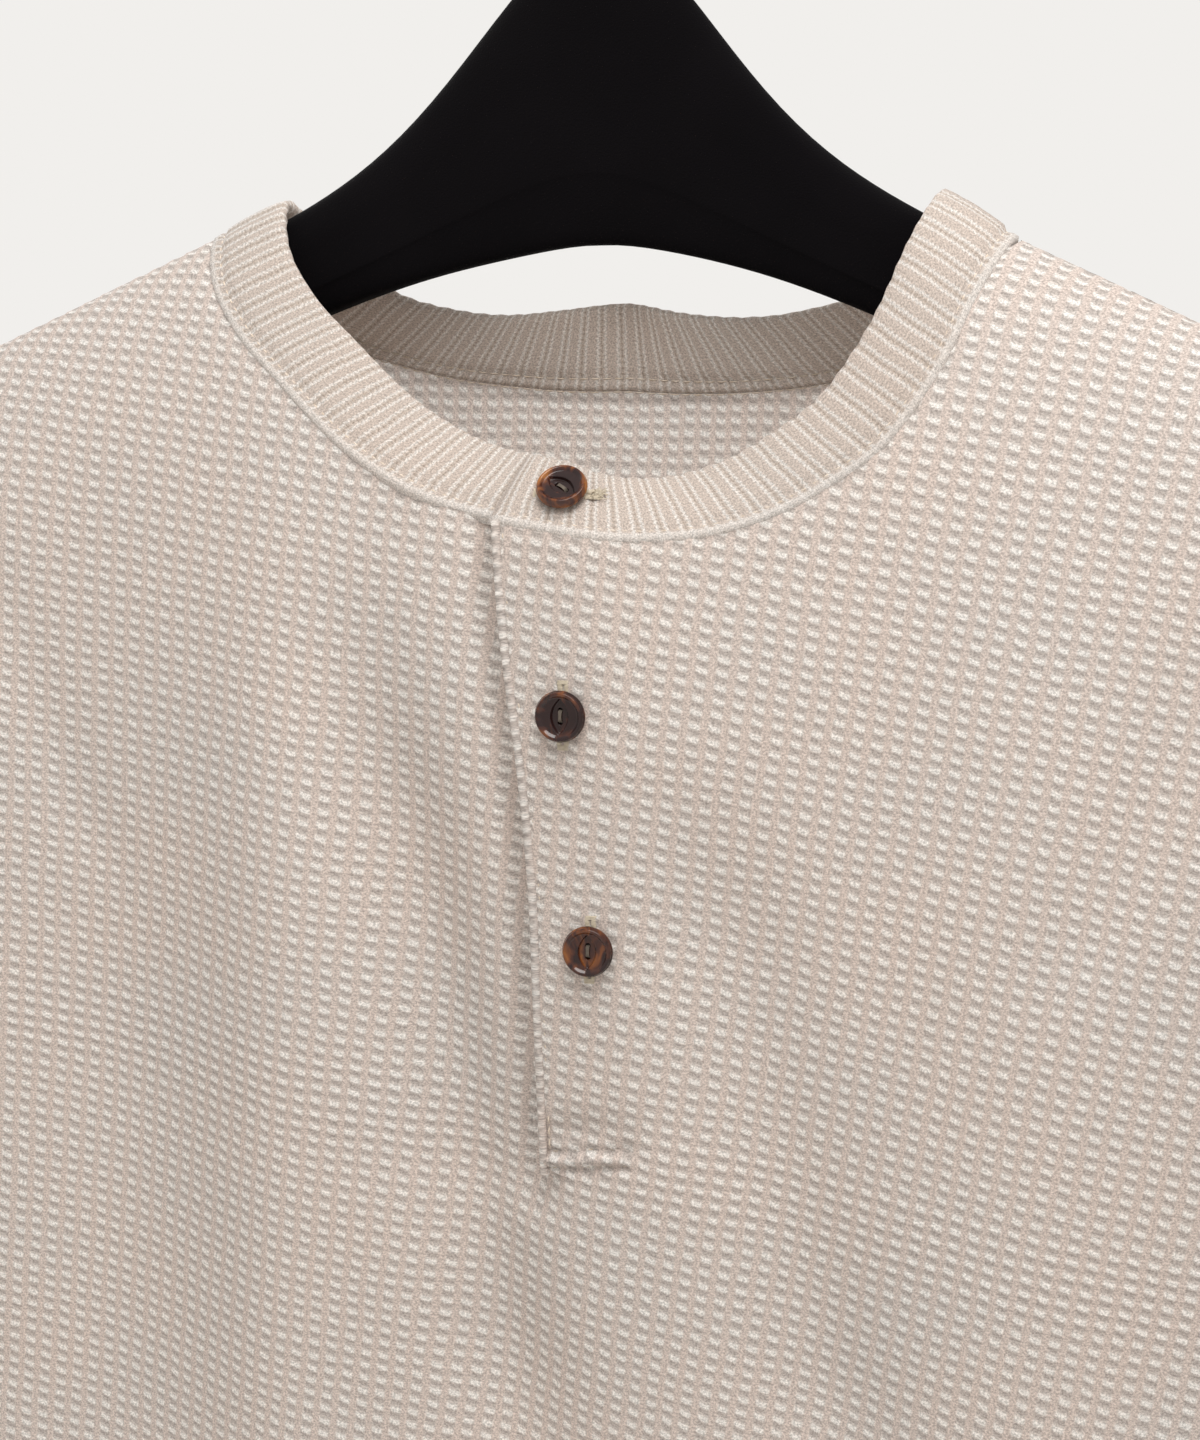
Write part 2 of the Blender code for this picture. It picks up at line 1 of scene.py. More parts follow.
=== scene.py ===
"""A waffle-knit henley shirt on a wide flocked hanger, dressed for the camera.

Metres, +Z up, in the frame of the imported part: the origin is the inside top of the hanger's
hook, the front faces -Y and the wearer's left is +X. The cloth is knitted cell by cell: each
panel is a lattice of points, two to a wale and two to a course, laid on the draped form and
trimmed to the panel's outline. A place on the torso is given by x, and by t, its height on
the cloth before the cloth bends over the hanger's arm.
"""
import logging
import math
from dataclasses import dataclass, field
from enum import Enum
from typing import Callable

import bpy
import numpy as np
from mathutils import Matrix, Vector


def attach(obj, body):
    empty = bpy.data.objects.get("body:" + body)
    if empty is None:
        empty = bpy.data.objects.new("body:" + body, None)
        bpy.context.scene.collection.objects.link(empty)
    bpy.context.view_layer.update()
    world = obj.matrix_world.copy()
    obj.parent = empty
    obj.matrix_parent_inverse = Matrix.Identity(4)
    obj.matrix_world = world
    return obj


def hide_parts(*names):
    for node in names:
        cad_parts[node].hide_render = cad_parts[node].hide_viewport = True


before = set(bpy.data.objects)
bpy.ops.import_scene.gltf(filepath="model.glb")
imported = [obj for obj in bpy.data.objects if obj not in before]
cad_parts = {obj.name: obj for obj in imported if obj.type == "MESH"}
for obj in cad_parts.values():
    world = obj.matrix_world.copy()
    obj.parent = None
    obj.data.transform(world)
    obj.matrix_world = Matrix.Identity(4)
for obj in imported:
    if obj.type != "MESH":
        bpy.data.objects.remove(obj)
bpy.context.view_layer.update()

BODY = "root"
GAP = 0.0003               # between pieces that touch

log = logging.getLogger("henley")
Array = np.ndarray
Inputs = dict[int | str, object]
Colour = tuple[float, float, float, float]


# ---- small tools ---------------------------------------------------------------------------
def linear(hex_colour: str) -> Colour:
    """Turn an sRGB hex colour to linear light.

    Args:
        hex_colour: six hex digits.

    Returns:
        Red, green, blue and a solid alpha.
    """
    shares = [int(hex_colour[i:i + 2], 16) / 255 for i in (0, 2, 4)]
    light = [c / 12.92 if c <= 0.04045 else ((c + 0.055) / 1.055) ** 2.4 for c in shares]
    return (*light, 1.0)


def add_node(tree: bpy.types.NodeTree, kind: str, inputs: Inputs | None = None,
             **settings: object) -> bpy.types.Node:
    """Add a node with its settings, values and links.

    Args:
        tree: the material's node tree.
        kind: the node's type, such as "Math".
        inputs: a value, a socket or a node for each input named or numbered.
        **settings: the node's own fields.

    Returns:
        The node.
    """
    made = tree.nodes.new("ShaderNode" + kind)
    for name, value in settings.items():
        setattr(made, name, value)
    for key, value in (inputs or {}).items():
        if isinstance(value, bpy.types.Node):
            value = value.outputs[0]
        if isinstance(value, bpy.types.NodeSocket):
            tree.links.new(value, made.inputs[key])
        else:
            made.inputs[key].default_value = value
    return made


def fill_ramp(node: bpy.types.Node, stops: list[tuple[float, Colour]]) -> None:
    """Give a colour ramp its stops, which run softly into each other.

    Args:
        node: the ramp.
        stops: position and colour of each stop, in order.
    """
    ramp = node.color_ramp
    ramp.interpolation = "EASE"
    while len(ramp.elements) > 1:
        ramp.elements.remove(ramp.elements[-1])
    ramp.elements[0].position, ramp.elements[0].color = stops[0]
    for position, colour in stops[1:]:
        ramp.elements.new(position).color = colour


def start_material(name: str) -> tuple[bpy.types.Material, bpy.types.NodeTree,
                                       bpy.types.Node]:
    """Start a material.

    Args:
        name: its name.

    Returns:
        The material, its node tree and its shader.
    """
    made = bpy.data.materials.new(name)
    made.use_nodes = True
    return made, made.node_tree, made.node_tree.nodes["Principled BSDF"]


def smooth_step(value: Array | float) -> Array:
    """Rise softly from 0 to 1 as the value goes from 0 to 1."""
    value = np.clip(value, 0.0, 1.0)
    return value * value * (3 - 2 * value)


def bell(value: Array | float) -> Array:
    """Fall from 1 at 0 to nearly 0 at 2, on either side."""
    return np.exp(-np.square(value))


def read_table(value: Array | float, table: Array) -> Array:
    """Read a table's second column at a value of its first, on a smooth curve.

    Args:
        value: where to read.
        table: rows of two numbers.

    Returns:
        The second column's value there.
    """
    xs, ys = table[np.argsort(table[:, 0])].T
    slopes = np.gradient(ys, xs)
    value = np.clip(value, xs[0], xs[-1])
    i = np.clip(np.searchsorted(xs, value) - 1, 0, len(xs) - 2)
    width = xs[i + 1] - xs[i]
    s = (value - xs[i]) / width
    rise = ys[i + 1] - ys[i]
    a = slopes[i] * width - rise
    b = rise - slopes[i + 1] * width
    return ys[i] + s * rise + s * (1 - s) * (a * (1 - s) + b * s)


def unit(vectors: Array) -> Array:
    """Scale vectors to length 1."""
    return vectors / np.maximum(np.linalg.norm(vectors, axis=-1, keepdims=True), 1e-12)


def arc_lengths(points: Array) -> Array:
    """Length along a line of points, from 0 at the first."""
    steps = np.linalg.norm(np.diff(points, axis=0), axis=-1)
    return np.concatenate([np.zeros_like(steps[:1]), np.cumsum(steps, axis=0)])


def read_rows(rows: Array, run: Array, places: Array) -> Array:
    """Read rows of three numbers, given at lengths run, at other lengths."""
    return np.stack([np.interp(places, run, column) for column in rows.T], axis=-1)


def along_line(points: Array, places: Array) -> Array:
    """Points at the given lengths along a line of points."""
    return read_rows(points, arc_lengths(points), places)


def evenly(points: Array, count: int) -> Array:
    """A line's points, spaced evenly."""
    return along_line(points, np.linspace(0, arc_lengths(points)[-1], count))


def cells_touching(inside: Array) -> Array:
    """Which cells of a grid have at least one corner inside."""
    return inside[:-1, :-1] | inside[1:, :-1] | inside[:-1, 1:] | inside[1:, 1:]


def fold_inward(depth: float) -> list[tuple[float, float]]:
    """Section of an edge turned up inside, as steps outwards and upwards.

    Args:
        depth: how deep the turning is.

    Returns:
        Points from just above the fold outside to the turning's raw edge inside.
    """
    return [(0.0003, 0.003), (0.0004, 0.0012), (0.0002, 0.0000), (-0.0005, -0.0007),
            (-0.0012, -0.0002), (-0.0015, 0.0012), (-0.0015, 0.0060), (-0.0014, 0.0140),
            (-0.0012, depth)]


class Side(Enum):
    """The two halves of the torso, with the sign of their y."""
    FRONT = -1
    BACK = 1


class Wearer(Enum):
    """The wearer's two sides, with the sign of their x."""
    LEFT = 1
    RIGHT = -1


class Slot(Enum):
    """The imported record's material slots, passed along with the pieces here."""
    KNIT = "waffle_knit"
    HORN = "horn"
    FLOCK = "flock"


@dataclass
class Parts:
    """Vertices, faces and cloth places of one mesh as it is gathered."""
    points: list[Array] = field(default_factory=list)
    places: list[Array] = field(default_factory=list)
    faces: list[Array] = field(default_factory=list)
    count: int = 0

    def add(self, points: Array, faces: Array, places: Array | None = None) -> None:
        """Add a stretch of mesh.

        Args:
            points: its vertices.
            faces: its quads, as indices into points; a triangle repeats its last corner.
            places: its places on the flat cloth, in metres.
        """
        points = points.reshape(-1, 3)
        if places is None:
            places = points[:, [0, 2]]
        self.points.append(points)
        self.places.append(places.reshape(-1, 2))
        self.faces.append(np.asarray(faces) + self.count)
        self.count += len(points)

    def finish(self, name: str, material: bpy.types.Material, slot: Slot,
               weld: bool = False) -> bpy.types.Object:
        """Make the object and let it ride on the body.

        Args:
            name: the piece's name.
            material: its finish.
            slot: the record's slot for that finish; not used.
            weld: join vertices that lie on each other.

        Returns:
            The piece.
        """
        points = np.concatenate(self.points)
        places = np.concatenate(self.places)
        faces = np.concatenate(self.faces)
        if weld:
            keys = np.round(points / 2e-6).astype(np.int64)
            _, first, back = np.unique(keys, axis=0, return_index=True, return_inverse=True)
            points, places, faces = points[first], places[first], back.reshape(-1)[faces]
        polygons = []
        for quad in faces.tolist():
            corners = [c for c, before in zip(quad, quad[-1:] + quad[:-1]) if c != before]
            if len(set(corners)) == len(corners) and len(corners) > 2:
                polygons.append(corners)
        used = np.unique(np.concatenate([np.array(p) for p in polygons]))
        renumber = np.zeros(len(points), int)
        renumber[used] = np.arange(len(used))
        mesh = bpy.data.meshes.new(name)
        mesh.from_pydata(points[used].tolist(), [],
                         [[int(renumber[c]) for c in p] for p in polygons])
        layer = mesh.uv_layers.new(name="cloth")
        corner_of = np.empty(len(mesh.loops), int)
        mesh.loops.foreach_get("vertex_index", corner_of)
        layer.data.foreach_set("uv", places[used][corner_of].astype(np.float32).ravel())
        mesh.materials.append(material)
        mesh.shade_smooth()
        piece = bpy.data.objects.new(name, mesh)
        bpy.context.scene.collection.objects.link(piece)
        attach(piece, BODY)
        log.info("%s: %d faces", name, len(mesh.polygons))
        return piece


def grid_faces(rows: int, columns: int, keep: Array | None = None, wrap: bool = False) -> Array:
    """Quads of a grid of points, seen from its outer side.

    Args:
        rows: how many rows of points.
        columns: how many points in a row.
        keep: which cells to make.
        wrap: join the last column to the first.

    Returns:
        Four indices for each quad.
    """
    index = np.arange(rows * columns).reshape(rows, columns)
    across = np.roll(index, -1, axis=1)
    if not wrap:
        index, across = index[:, :-1], across[:, :-1]
    quads = np.stack([index[:-1], index[1:], across[1:], across[:-1]], axis=-1)
    if keep is not None:
        return quads[keep]
    return quads.reshape(-1, 4)


# ---- finishes ------------------------------------------------------------------------------
@dataclass(frozen=True)
class Gauge:
    """The knit's cell: a wale across, a course down, and how high its threads stand."""
    wale: float = 0.0039
    course: float = 0.0031
    rib: float = 0.00022
    bar: float = 0.00014
    pit: float = -0.00013

    def relief(self, columns: Array, rows: Array) -> Array:
        """Height of the cloth at lattice points, two to a wale and two to a course.

        Args:
            columns: half wales, even on a rib.
            rows: half courses, even on a bar.

        Returns:
            Heights in metres.
        """
        on_rib = 0.5 + 0.5 * np.cos(math.pi * columns)
        on_bar = 0.5 + 0.5 * np.cos(math.pi * rows)
        between = self.pit + (self.bar - self.pit) * on_bar
        return between + (self.rib - between) * on_rib


@dataclass(frozen=True)
class WaffleCotton:
    """Cotton waffle knit, heathered and washed.

    Combed cotton scatters light softly: no gloss, a faint halo of fibre at grazing angles,
    smooth tan ribs, and between them pale slanting bars with a shaded pit under each.
    """
    name: str
    gauge: Gauge
    rib: str = "CABFB7"
    bar: str = "E2E0DB"
    # The shade colour is painted shade, darker where the pit under each bar and the gap between a
    # band's ribs lie in shadow.
    shade: str = "B3ACA6"
    middle: str = "C8C2BC"
    slant: float = 0.26        # courses that a bar falls in a wale
    smile: float = 0.8         # how far its middle hangs
    bump: float = 0.30
    through: float = 0.30      # share of the light that passes through one layer
    ribbed: bool = False       # strong ribs with serrated white edges, as on the neckband
    foot: float = 0.0017       # height of the ribbed cloth's white beaded foot

    def cells(self, tree: bpy.types.NodeTree, place: bpy.types.Node) -> bpy.types.Node:
        """Count wales and courses across the cloth, with the hand of the knit in them.

        Args:
            tree: the material's node tree.
            place: the place on the flat cloth.

        Returns:
            A node that gives the place in wales and courses.
        """
        # Cells wander by a quarter of a wale over 16 mm or so.
        wander = add_node(tree, "TexNoise",
                          {"Vector": place, "Scale": 60.0, "Detail": 4.0, "Roughness": 0.6})
        centred = add_node(tree, "VectorMath", {0: wander.outputs["Color"],
                                                          1: (0.5, 0.5, 0.5)},
                           operation="SUBTRACT")
        moved = add_node(tree, "VectorMath",
                         {0: centred, 1: (0.0018, 0.0024, 0.0), 2: place},
                         operation="MULTIPLY_ADD")
        return add_node(tree, "VectorMath",
                        {0: moved, 1: (1 / self.gauge.wale, 1 / self.gauge.course, 0.0)},
                        operation="MULTIPLY")

    def plain_weave(self, tree: bpy.types.NodeTree, off: bpy.types.Node, far: bpy.types.Node,
                    row: bpy.types.NodeSocket) -> tuple[bpy.types.Node, bpy.types.Node]:
        """Lay slanting bars between the ribs.

        Args:
            tree: the material's node tree.
            off: distance from the middle of a gap, in wales, signed.
            far: the same without its sign.
            row: the place in courses.

        Returns:
            The colour and the height.
        """
        rib = add_node(tree, "MapRange", {0: far, 1: 0.19, 2: 0.39},
                       interpolation_type="SMOOTHSTEP")
        fall = add_node(tree, "Math", {0: off, 1: self.slant, 2: row},
                        operation="MULTIPLY_ADD")
        square = add_node(tree, "Math", {0: off, 1: off}, operation="MULTIPLY")
        bars = add_node(tree, "Math", {0: square, 1: -self.smile, 2: fall},
                        operation="MULTIPLY_ADD")
        raised = add_node(tree, "Math", {0: bars, 1: 0.5}, operation="ADD")
        beat = add_node(tree, "Math", {0: raised}, operation="FRACT")
        ladder = add_node(tree, "ValToRGB", {0: beat})
        # The shade stops paint the shade of the pit under each bar into the colour, on top of the
        # shade the relief casts.
        shade, middle, bar = linear(self.shade), linear(self.middle), linear(self.bar)
        fill_ramp(ladder, [(0.0, middle), (0.14, shade), (0.34, shade), (0.46, middle),
                           (0.56, bar), (0.80, bar), (0.94, middle)])
        height = add_node(tree, "ValToRGB", {0: beat})
        low, mid, high = ((level, level, level, 1.0) for level in (0.10, 0.35, 0.75))
        fill_ramp(height, [(0.0, mid), (0.26, low), (0.62, high), (0.72, high), (1.0, mid)])
        weave = add_node(tree, "Mix", {0: rib, 6: ladder, 7: linear(self.rib)},
                         data_type="RGBA")
        relief = add_node(tree, "Mix", {0: rib, 2: height, 3: 0.9},
                          data_type="FLOAT")
        return weave, relief

    def ribbed_weave(self, tree: bpy.types.NodeTree, far: bpy.types.Node,
                     row: bpy.types.NodeSocket, place: bpy.types.Node
                     ) -> tuple[bpy.types.Node, bpy.types.Node]:
        """Lay smooth ribs with saw-toothed white edges and a shaded gap between them.

        Args:
            tree: the material's node tree.
            far: distance from the middle of a gap, in wales.
            row: the place in courses.
            place: the place on the flat cloth, whose y starts at the band's foot.

        Returns:
            The colour and the height.
        """
        saw = add_node(tree, "Math", {0: row, 1: 2.0}, operation="MULTIPLY")
        tooth = add_node(tree, "Math", {0: saw}, operation="FRACT")
        edged = add_node(tree, "Math", {0: tooth, 1: 0.09, 2: far},
                         operation="MULTIPLY_ADD")
        ladder = add_node(tree, "ValToRGB", {0: edged})
        # The shade stop paints the shade of the gap between the ribs into the colour.
        shade, middle, bar, rib = (linear(c) for c in
                                   (self.shade, self.middle, self.bar, self.rib))
        fill_ramp(ladder, [(0.0, shade), (0.14, middle), (0.22, bar), (0.27, bar),
                           (0.36, rib), (0.56, rib)])
        height = add_node(tree, "MapRange", {0: edged, 1: 0.05, 2: 0.45})
        # The foot of the band is flat and white, pinched into beads by its stitches.
        rise = add_node(tree, "SeparateXYZ", {0: place})
        foot = add_node(tree, "MapRange", {0: rise.outputs["Y"], 1: self.foot,
                                                     2: self.foot - 0.0006})
        softly = add_node(tree, "Math", {0: foot, 1: 0.75}, operation="MULTIPLY")
        weave = add_node(tree, "Mix", {0: softly, 6: ladder, 7: bar},
                         data_type="RGBA")
        return weave, height

    def build(self) -> bpy.types.Material:
        """Make the material."""
        made, tree, shader = start_material(self.name)
        place = add_node(tree, "UVMap", uv_map="cloth")
        apart = add_node(tree, "SeparateXYZ", {0: self.cells(tree, place)})
        share = add_node(tree, "Math", {0: apart.outputs["X"]}, operation="FRACT")
        off = add_node(tree, "Math", {0: share, 1: 0.5}, operation="SUBTRACT")
        far = add_node(tree, "Math", {0: off}, operation="ABSOLUTE")
        if self.ribbed:
            weave, relief = self.ribbed_weave(tree, far, apart.outputs["Y"], place)
        else:
            weave, relief = self.plain_weave(tree, off, far, apart.outputs["Y"])
        # Heather: fibres a third of a millimetre long, tan and white, mixed in the yarn.
        grain = add_node(tree, "TexNoise",
                         {"Vector": place, "Scale": 2100.0, "Detail": 2.0, "Roughness": 0.8})
        heather = add_node(tree, "MapRange", {0: grain, 1: 0.36, 2: 0.64,
                                                        3: 0.66, 4: 1.30})
        patches = add_node(tree, "TexNoise",
                           {"Vector": place, "Scale": 22.0, "Detail": 2.0})
        tint = add_node(tree, "Mix",
                        {0: patches, 6: linear("FCF5F2"), 7: linear("F3F4F6")},
                        data_type="RGBA")
        toned = add_node(tree, "Mix", {0: 1.0, 6: weave.outputs[2],
                                                 7: tint.outputs[2]},
                         data_type="RGBA", blend_type="MULTIPLY")
        colour = add_node(tree, "VectorMath", {0: toned.outputs[2], "Scale": heather},
                          operation="SCALE")
        tree.links.new(colour.outputs[0], shader.inputs["Base Color"])
        rough = add_node(tree, "Math", {0: grain, 1: 0.5, 2: relief.outputs[0]},
                         operation="MULTIPLY_ADD")
        bump = add_node(tree, "Bump",
                        {"Height": rough, "Strength": self.bump, "Distance": 0.0006})
        tree.links.new(bump.outputs[0], shader.inputs["Normal"])
        shader.inputs["Roughness"].default_value = 0.92
        shader.inputs["Specular IOR Level"].default_value = 0.2
        shader.inputs["Sheen Weight"].default_value = 0.12
        shader.inputs["Sheen Roughness"].default_value = 0.5
        glow = add_node(tree, "BsdfTranslucent", {"Color": colour, "Normal": bump})
        both = add_node(tree, "MixShader", {0: self.through, 1: shader, 2: glow})
        tree.links.new(both.outputs[0], tree.nodes["Material Output"].inputs["Surface"])
        return made


@dataclass(frozen=True)
class SewingThread:
    """Spun polyester sewing thread: matt, twisted, a tone deeper than the cloth."""
    name: str
    colour: str
    light: str = "DDD5CB"

    def build(self) -> bpy.types.Material:
        """Make the material."""
        made, tree, shader = start_material(self.name)
        place = add_node(tree, "TexCoord")
        # Two plies with a twist of about 0.8 mm.
        twist = add_node(tree, "TexNoise",
                         {"Vector": place.outputs["Object"], "Scale": 1250.0, "Detail": 1.0})
        shade = add_node(tree, "Mix",
                         {0: twist, 6: linear(self.colour), 7: linear(self.light)},
                         data_type="RGBA")
        tree.links.new(shade.outputs[2], shader.inputs["Base Color"])
        bump = add_node(tree, "Bump",
                        {"Height": twist, "Strength": 0.4, "Distance": 0.0002})
        tree.links.new(bump.outputs[0], shader.inputs["Normal"])
        shader.inputs["Roughness"].default_value = 0.75
        return made


@dataclass(frozen=True)
class MottledHorn:
    """Cast polyester made to look like horn, turned and polished.

    Clear amber with clouds of near-black: a sharp gloss, and colour that runs in soft streaks.
    """
    name: str
    dark: float                # share of the face that is nearly black
    shift: float               # where in the block it was cut
    rim: float                 # how much clearer the horn turns towards the rim

    def build(self) -> bpy.types.Material:
        """Make the material."""
        made, tree, shader = start_material(self.name)
        place = add_node(tree, "TexCoord")
        put = add_node(tree, "Mapping",
                       {"Vector": place.outputs["Object"],
                        "Location": (self.shift, self.shift * 0.7, 0.0),
                        "Scale": (1.0, 1.0, 0.45)})
        # Clouds are 3 to 4 mm across and drawn out downwards.
        clouds = add_node(tree, "TexNoise",
                          {"Vector": put, "Scale": 260.0, "Detail": 3.0, "Distortion": 0.8})
        # The block is cast in layers, so turning it leaves a clearer ring round a dark middle.
        face = add_node(tree, "UVMap", uv_map="cloth")
        out = add_node(tree, "VectorMath", {0: face}, operation="LENGTH")
        ring = add_node(tree, "MapRange",
                        {0: out.outputs["Value"], 1: 0.0030, 2: 0.0052, 3: -self.rim * 0.5,
                         4: self.rim}, interpolation_type="SMOOTHSTEP")
        cut = add_node(tree, "Math", {0: clouds, 1: ring}, operation="ADD")
        tones = add_node(tree, "ValToRGB", {0: cut})
        start = 0.28 + 0.3 * self.dark
        fill_ramp(tones, [(0.0, linear("100706")), (start, linear("221110")),
                          (start + 0.08, linear("3A1E16")), (start + 0.16, linear("5E341A")),
                          (start + 0.28, linear("855224"))])
        tree.links.new(tones.outputs[0], shader.inputs["Base Color"])
        shader.inputs["Roughness"].default_value = 0.11
        shader.inputs["IOR"].default_value = 1.52
        shader.inputs["Specular IOR Level"].default_value = 0.36
        return made


@dataclass(frozen=True)
class Flocking:
    """Black nylon flock on moulded plastic: short upright fibre that drinks the light."""
    name: str = "black_flocking"

    def build(self) -> bpy.types.Material:
        """Make the material."""
        made, tree, shader = start_material(self.name)
        place = add_node(tree, "TexCoord")
        # Fibre tips stand about 0.4 mm apart; lint lies every few centimetres.
        nap = add_node(tree, "TexNoise",
                       {"Vector": place.outputs["Object"], "Scale": 2500.0, "Detail": 2.0})
        brushed = add_node(tree, "TexNoise",
                           {"Vector": place.outputs["Object"], "Scale": 30.0, "Detail": 3.0})
        black = add_node(tree, "Mix",
                         {0: brushed, 6: linear("040304"), 7: linear("0A080A")},
                         data_type="RGBA")
        lint = add_node(tree, "TexVoronoi",
                        {"Vector": place.outputs["Object"], "Scale": 90.0})
        speck = add_node(tree, "MapRange", {0: lint, 1: 0.025, 2: 0.045, 3: 0.35,
                                                      4: 0.0})
        chance = add_node(tree, "Math",
                          {0: lint.outputs["Color"], 1: 0.82}, operation="GREATER_THAN")
        shown = add_node(tree, "Math", {0: speck, 1: chance}, operation="MULTIPLY")
        colour = add_node(tree, "Mix", {0: shown, 6: black.outputs[2],
                                                  7: linear("9A968F")}, data_type="RGBA")
        tree.links.new(colour.outputs[2], shader.inputs["Base Color"])
        bump = add_node(tree, "Bump",
                        {"Height": nap, "Strength": 0.6, "Distance": 0.0003})
        tree.links.new(bump.outputs[0], shader.inputs["Normal"])
        shader.inputs["Roughness"].default_value = 0.98
        shader.inputs["Specular IOR Level"].default_value = 0.04
        shader.inputs["Sheen Weight"].default_value = 0.02
        return made


@dataclass(frozen=True)
class PlatedSteel:
    """Nickel-plated steel wire, drawn and polished: bright, with faint lengthwise lines."""
    name: str = "plated_steel"

    def build(self) -> bpy.types.Material:
        """Make the material."""
        made, tree, shader = start_material(self.name)
        place = add_node(tree, "TexCoord")
        lines = add_node(tree, "TexNoise",
                         {"Vector": place.outputs["Object"], "Scale": 900.0, "Detail": 2.0})
        sheen = add_node(tree, "MapRange", {0: lines, 3: 0.16, 4: 0.30})
        tree.links.new(sheen.outputs[0], shader.inputs["Roughness"])
        shader.inputs["Base Color"].default_value = linear("C9C8C6")
        shader.inputs["Metallic"].default_value = 1.0
        return made


@dataclass(frozen=True)
class StudioPaint:
    """Pale matt emulsion on the studio floor, rolled on with a faint orange peel."""
    name: str = "studio_paint"

    def build(self) -> bpy.types.Material:
        """Make the material."""
        made, tree, shader = start_material(self.name)
        place = add_node(tree, "TexCoord")
        peel = add_node(tree, "TexNoise",
                        {"Vector": place.outputs["Object"], "Scale": 180.0, "Detail": 2.0})
        bump = add_node(tree, "Bump",
                        {"Height": peel, "Strength": 0.05, "Distance": 0.001})
        tree.links.new(bump.outputs[0], shader.inputs["Normal"])
        shader.inputs["Base Color"].default_value = linear("F1EFEC")
        shader.inputs["Roughness"].default_value = 0.9
        return made


# ---- the draped form -----------------------------------------------------------------------
Fold = tuple[float, float, float, float, float, float]
FOLD_OVER = 0.15           # how far a fold runs past its ends, as a share of its length
FOLD_FADE = 0.35           # and over what share it rises


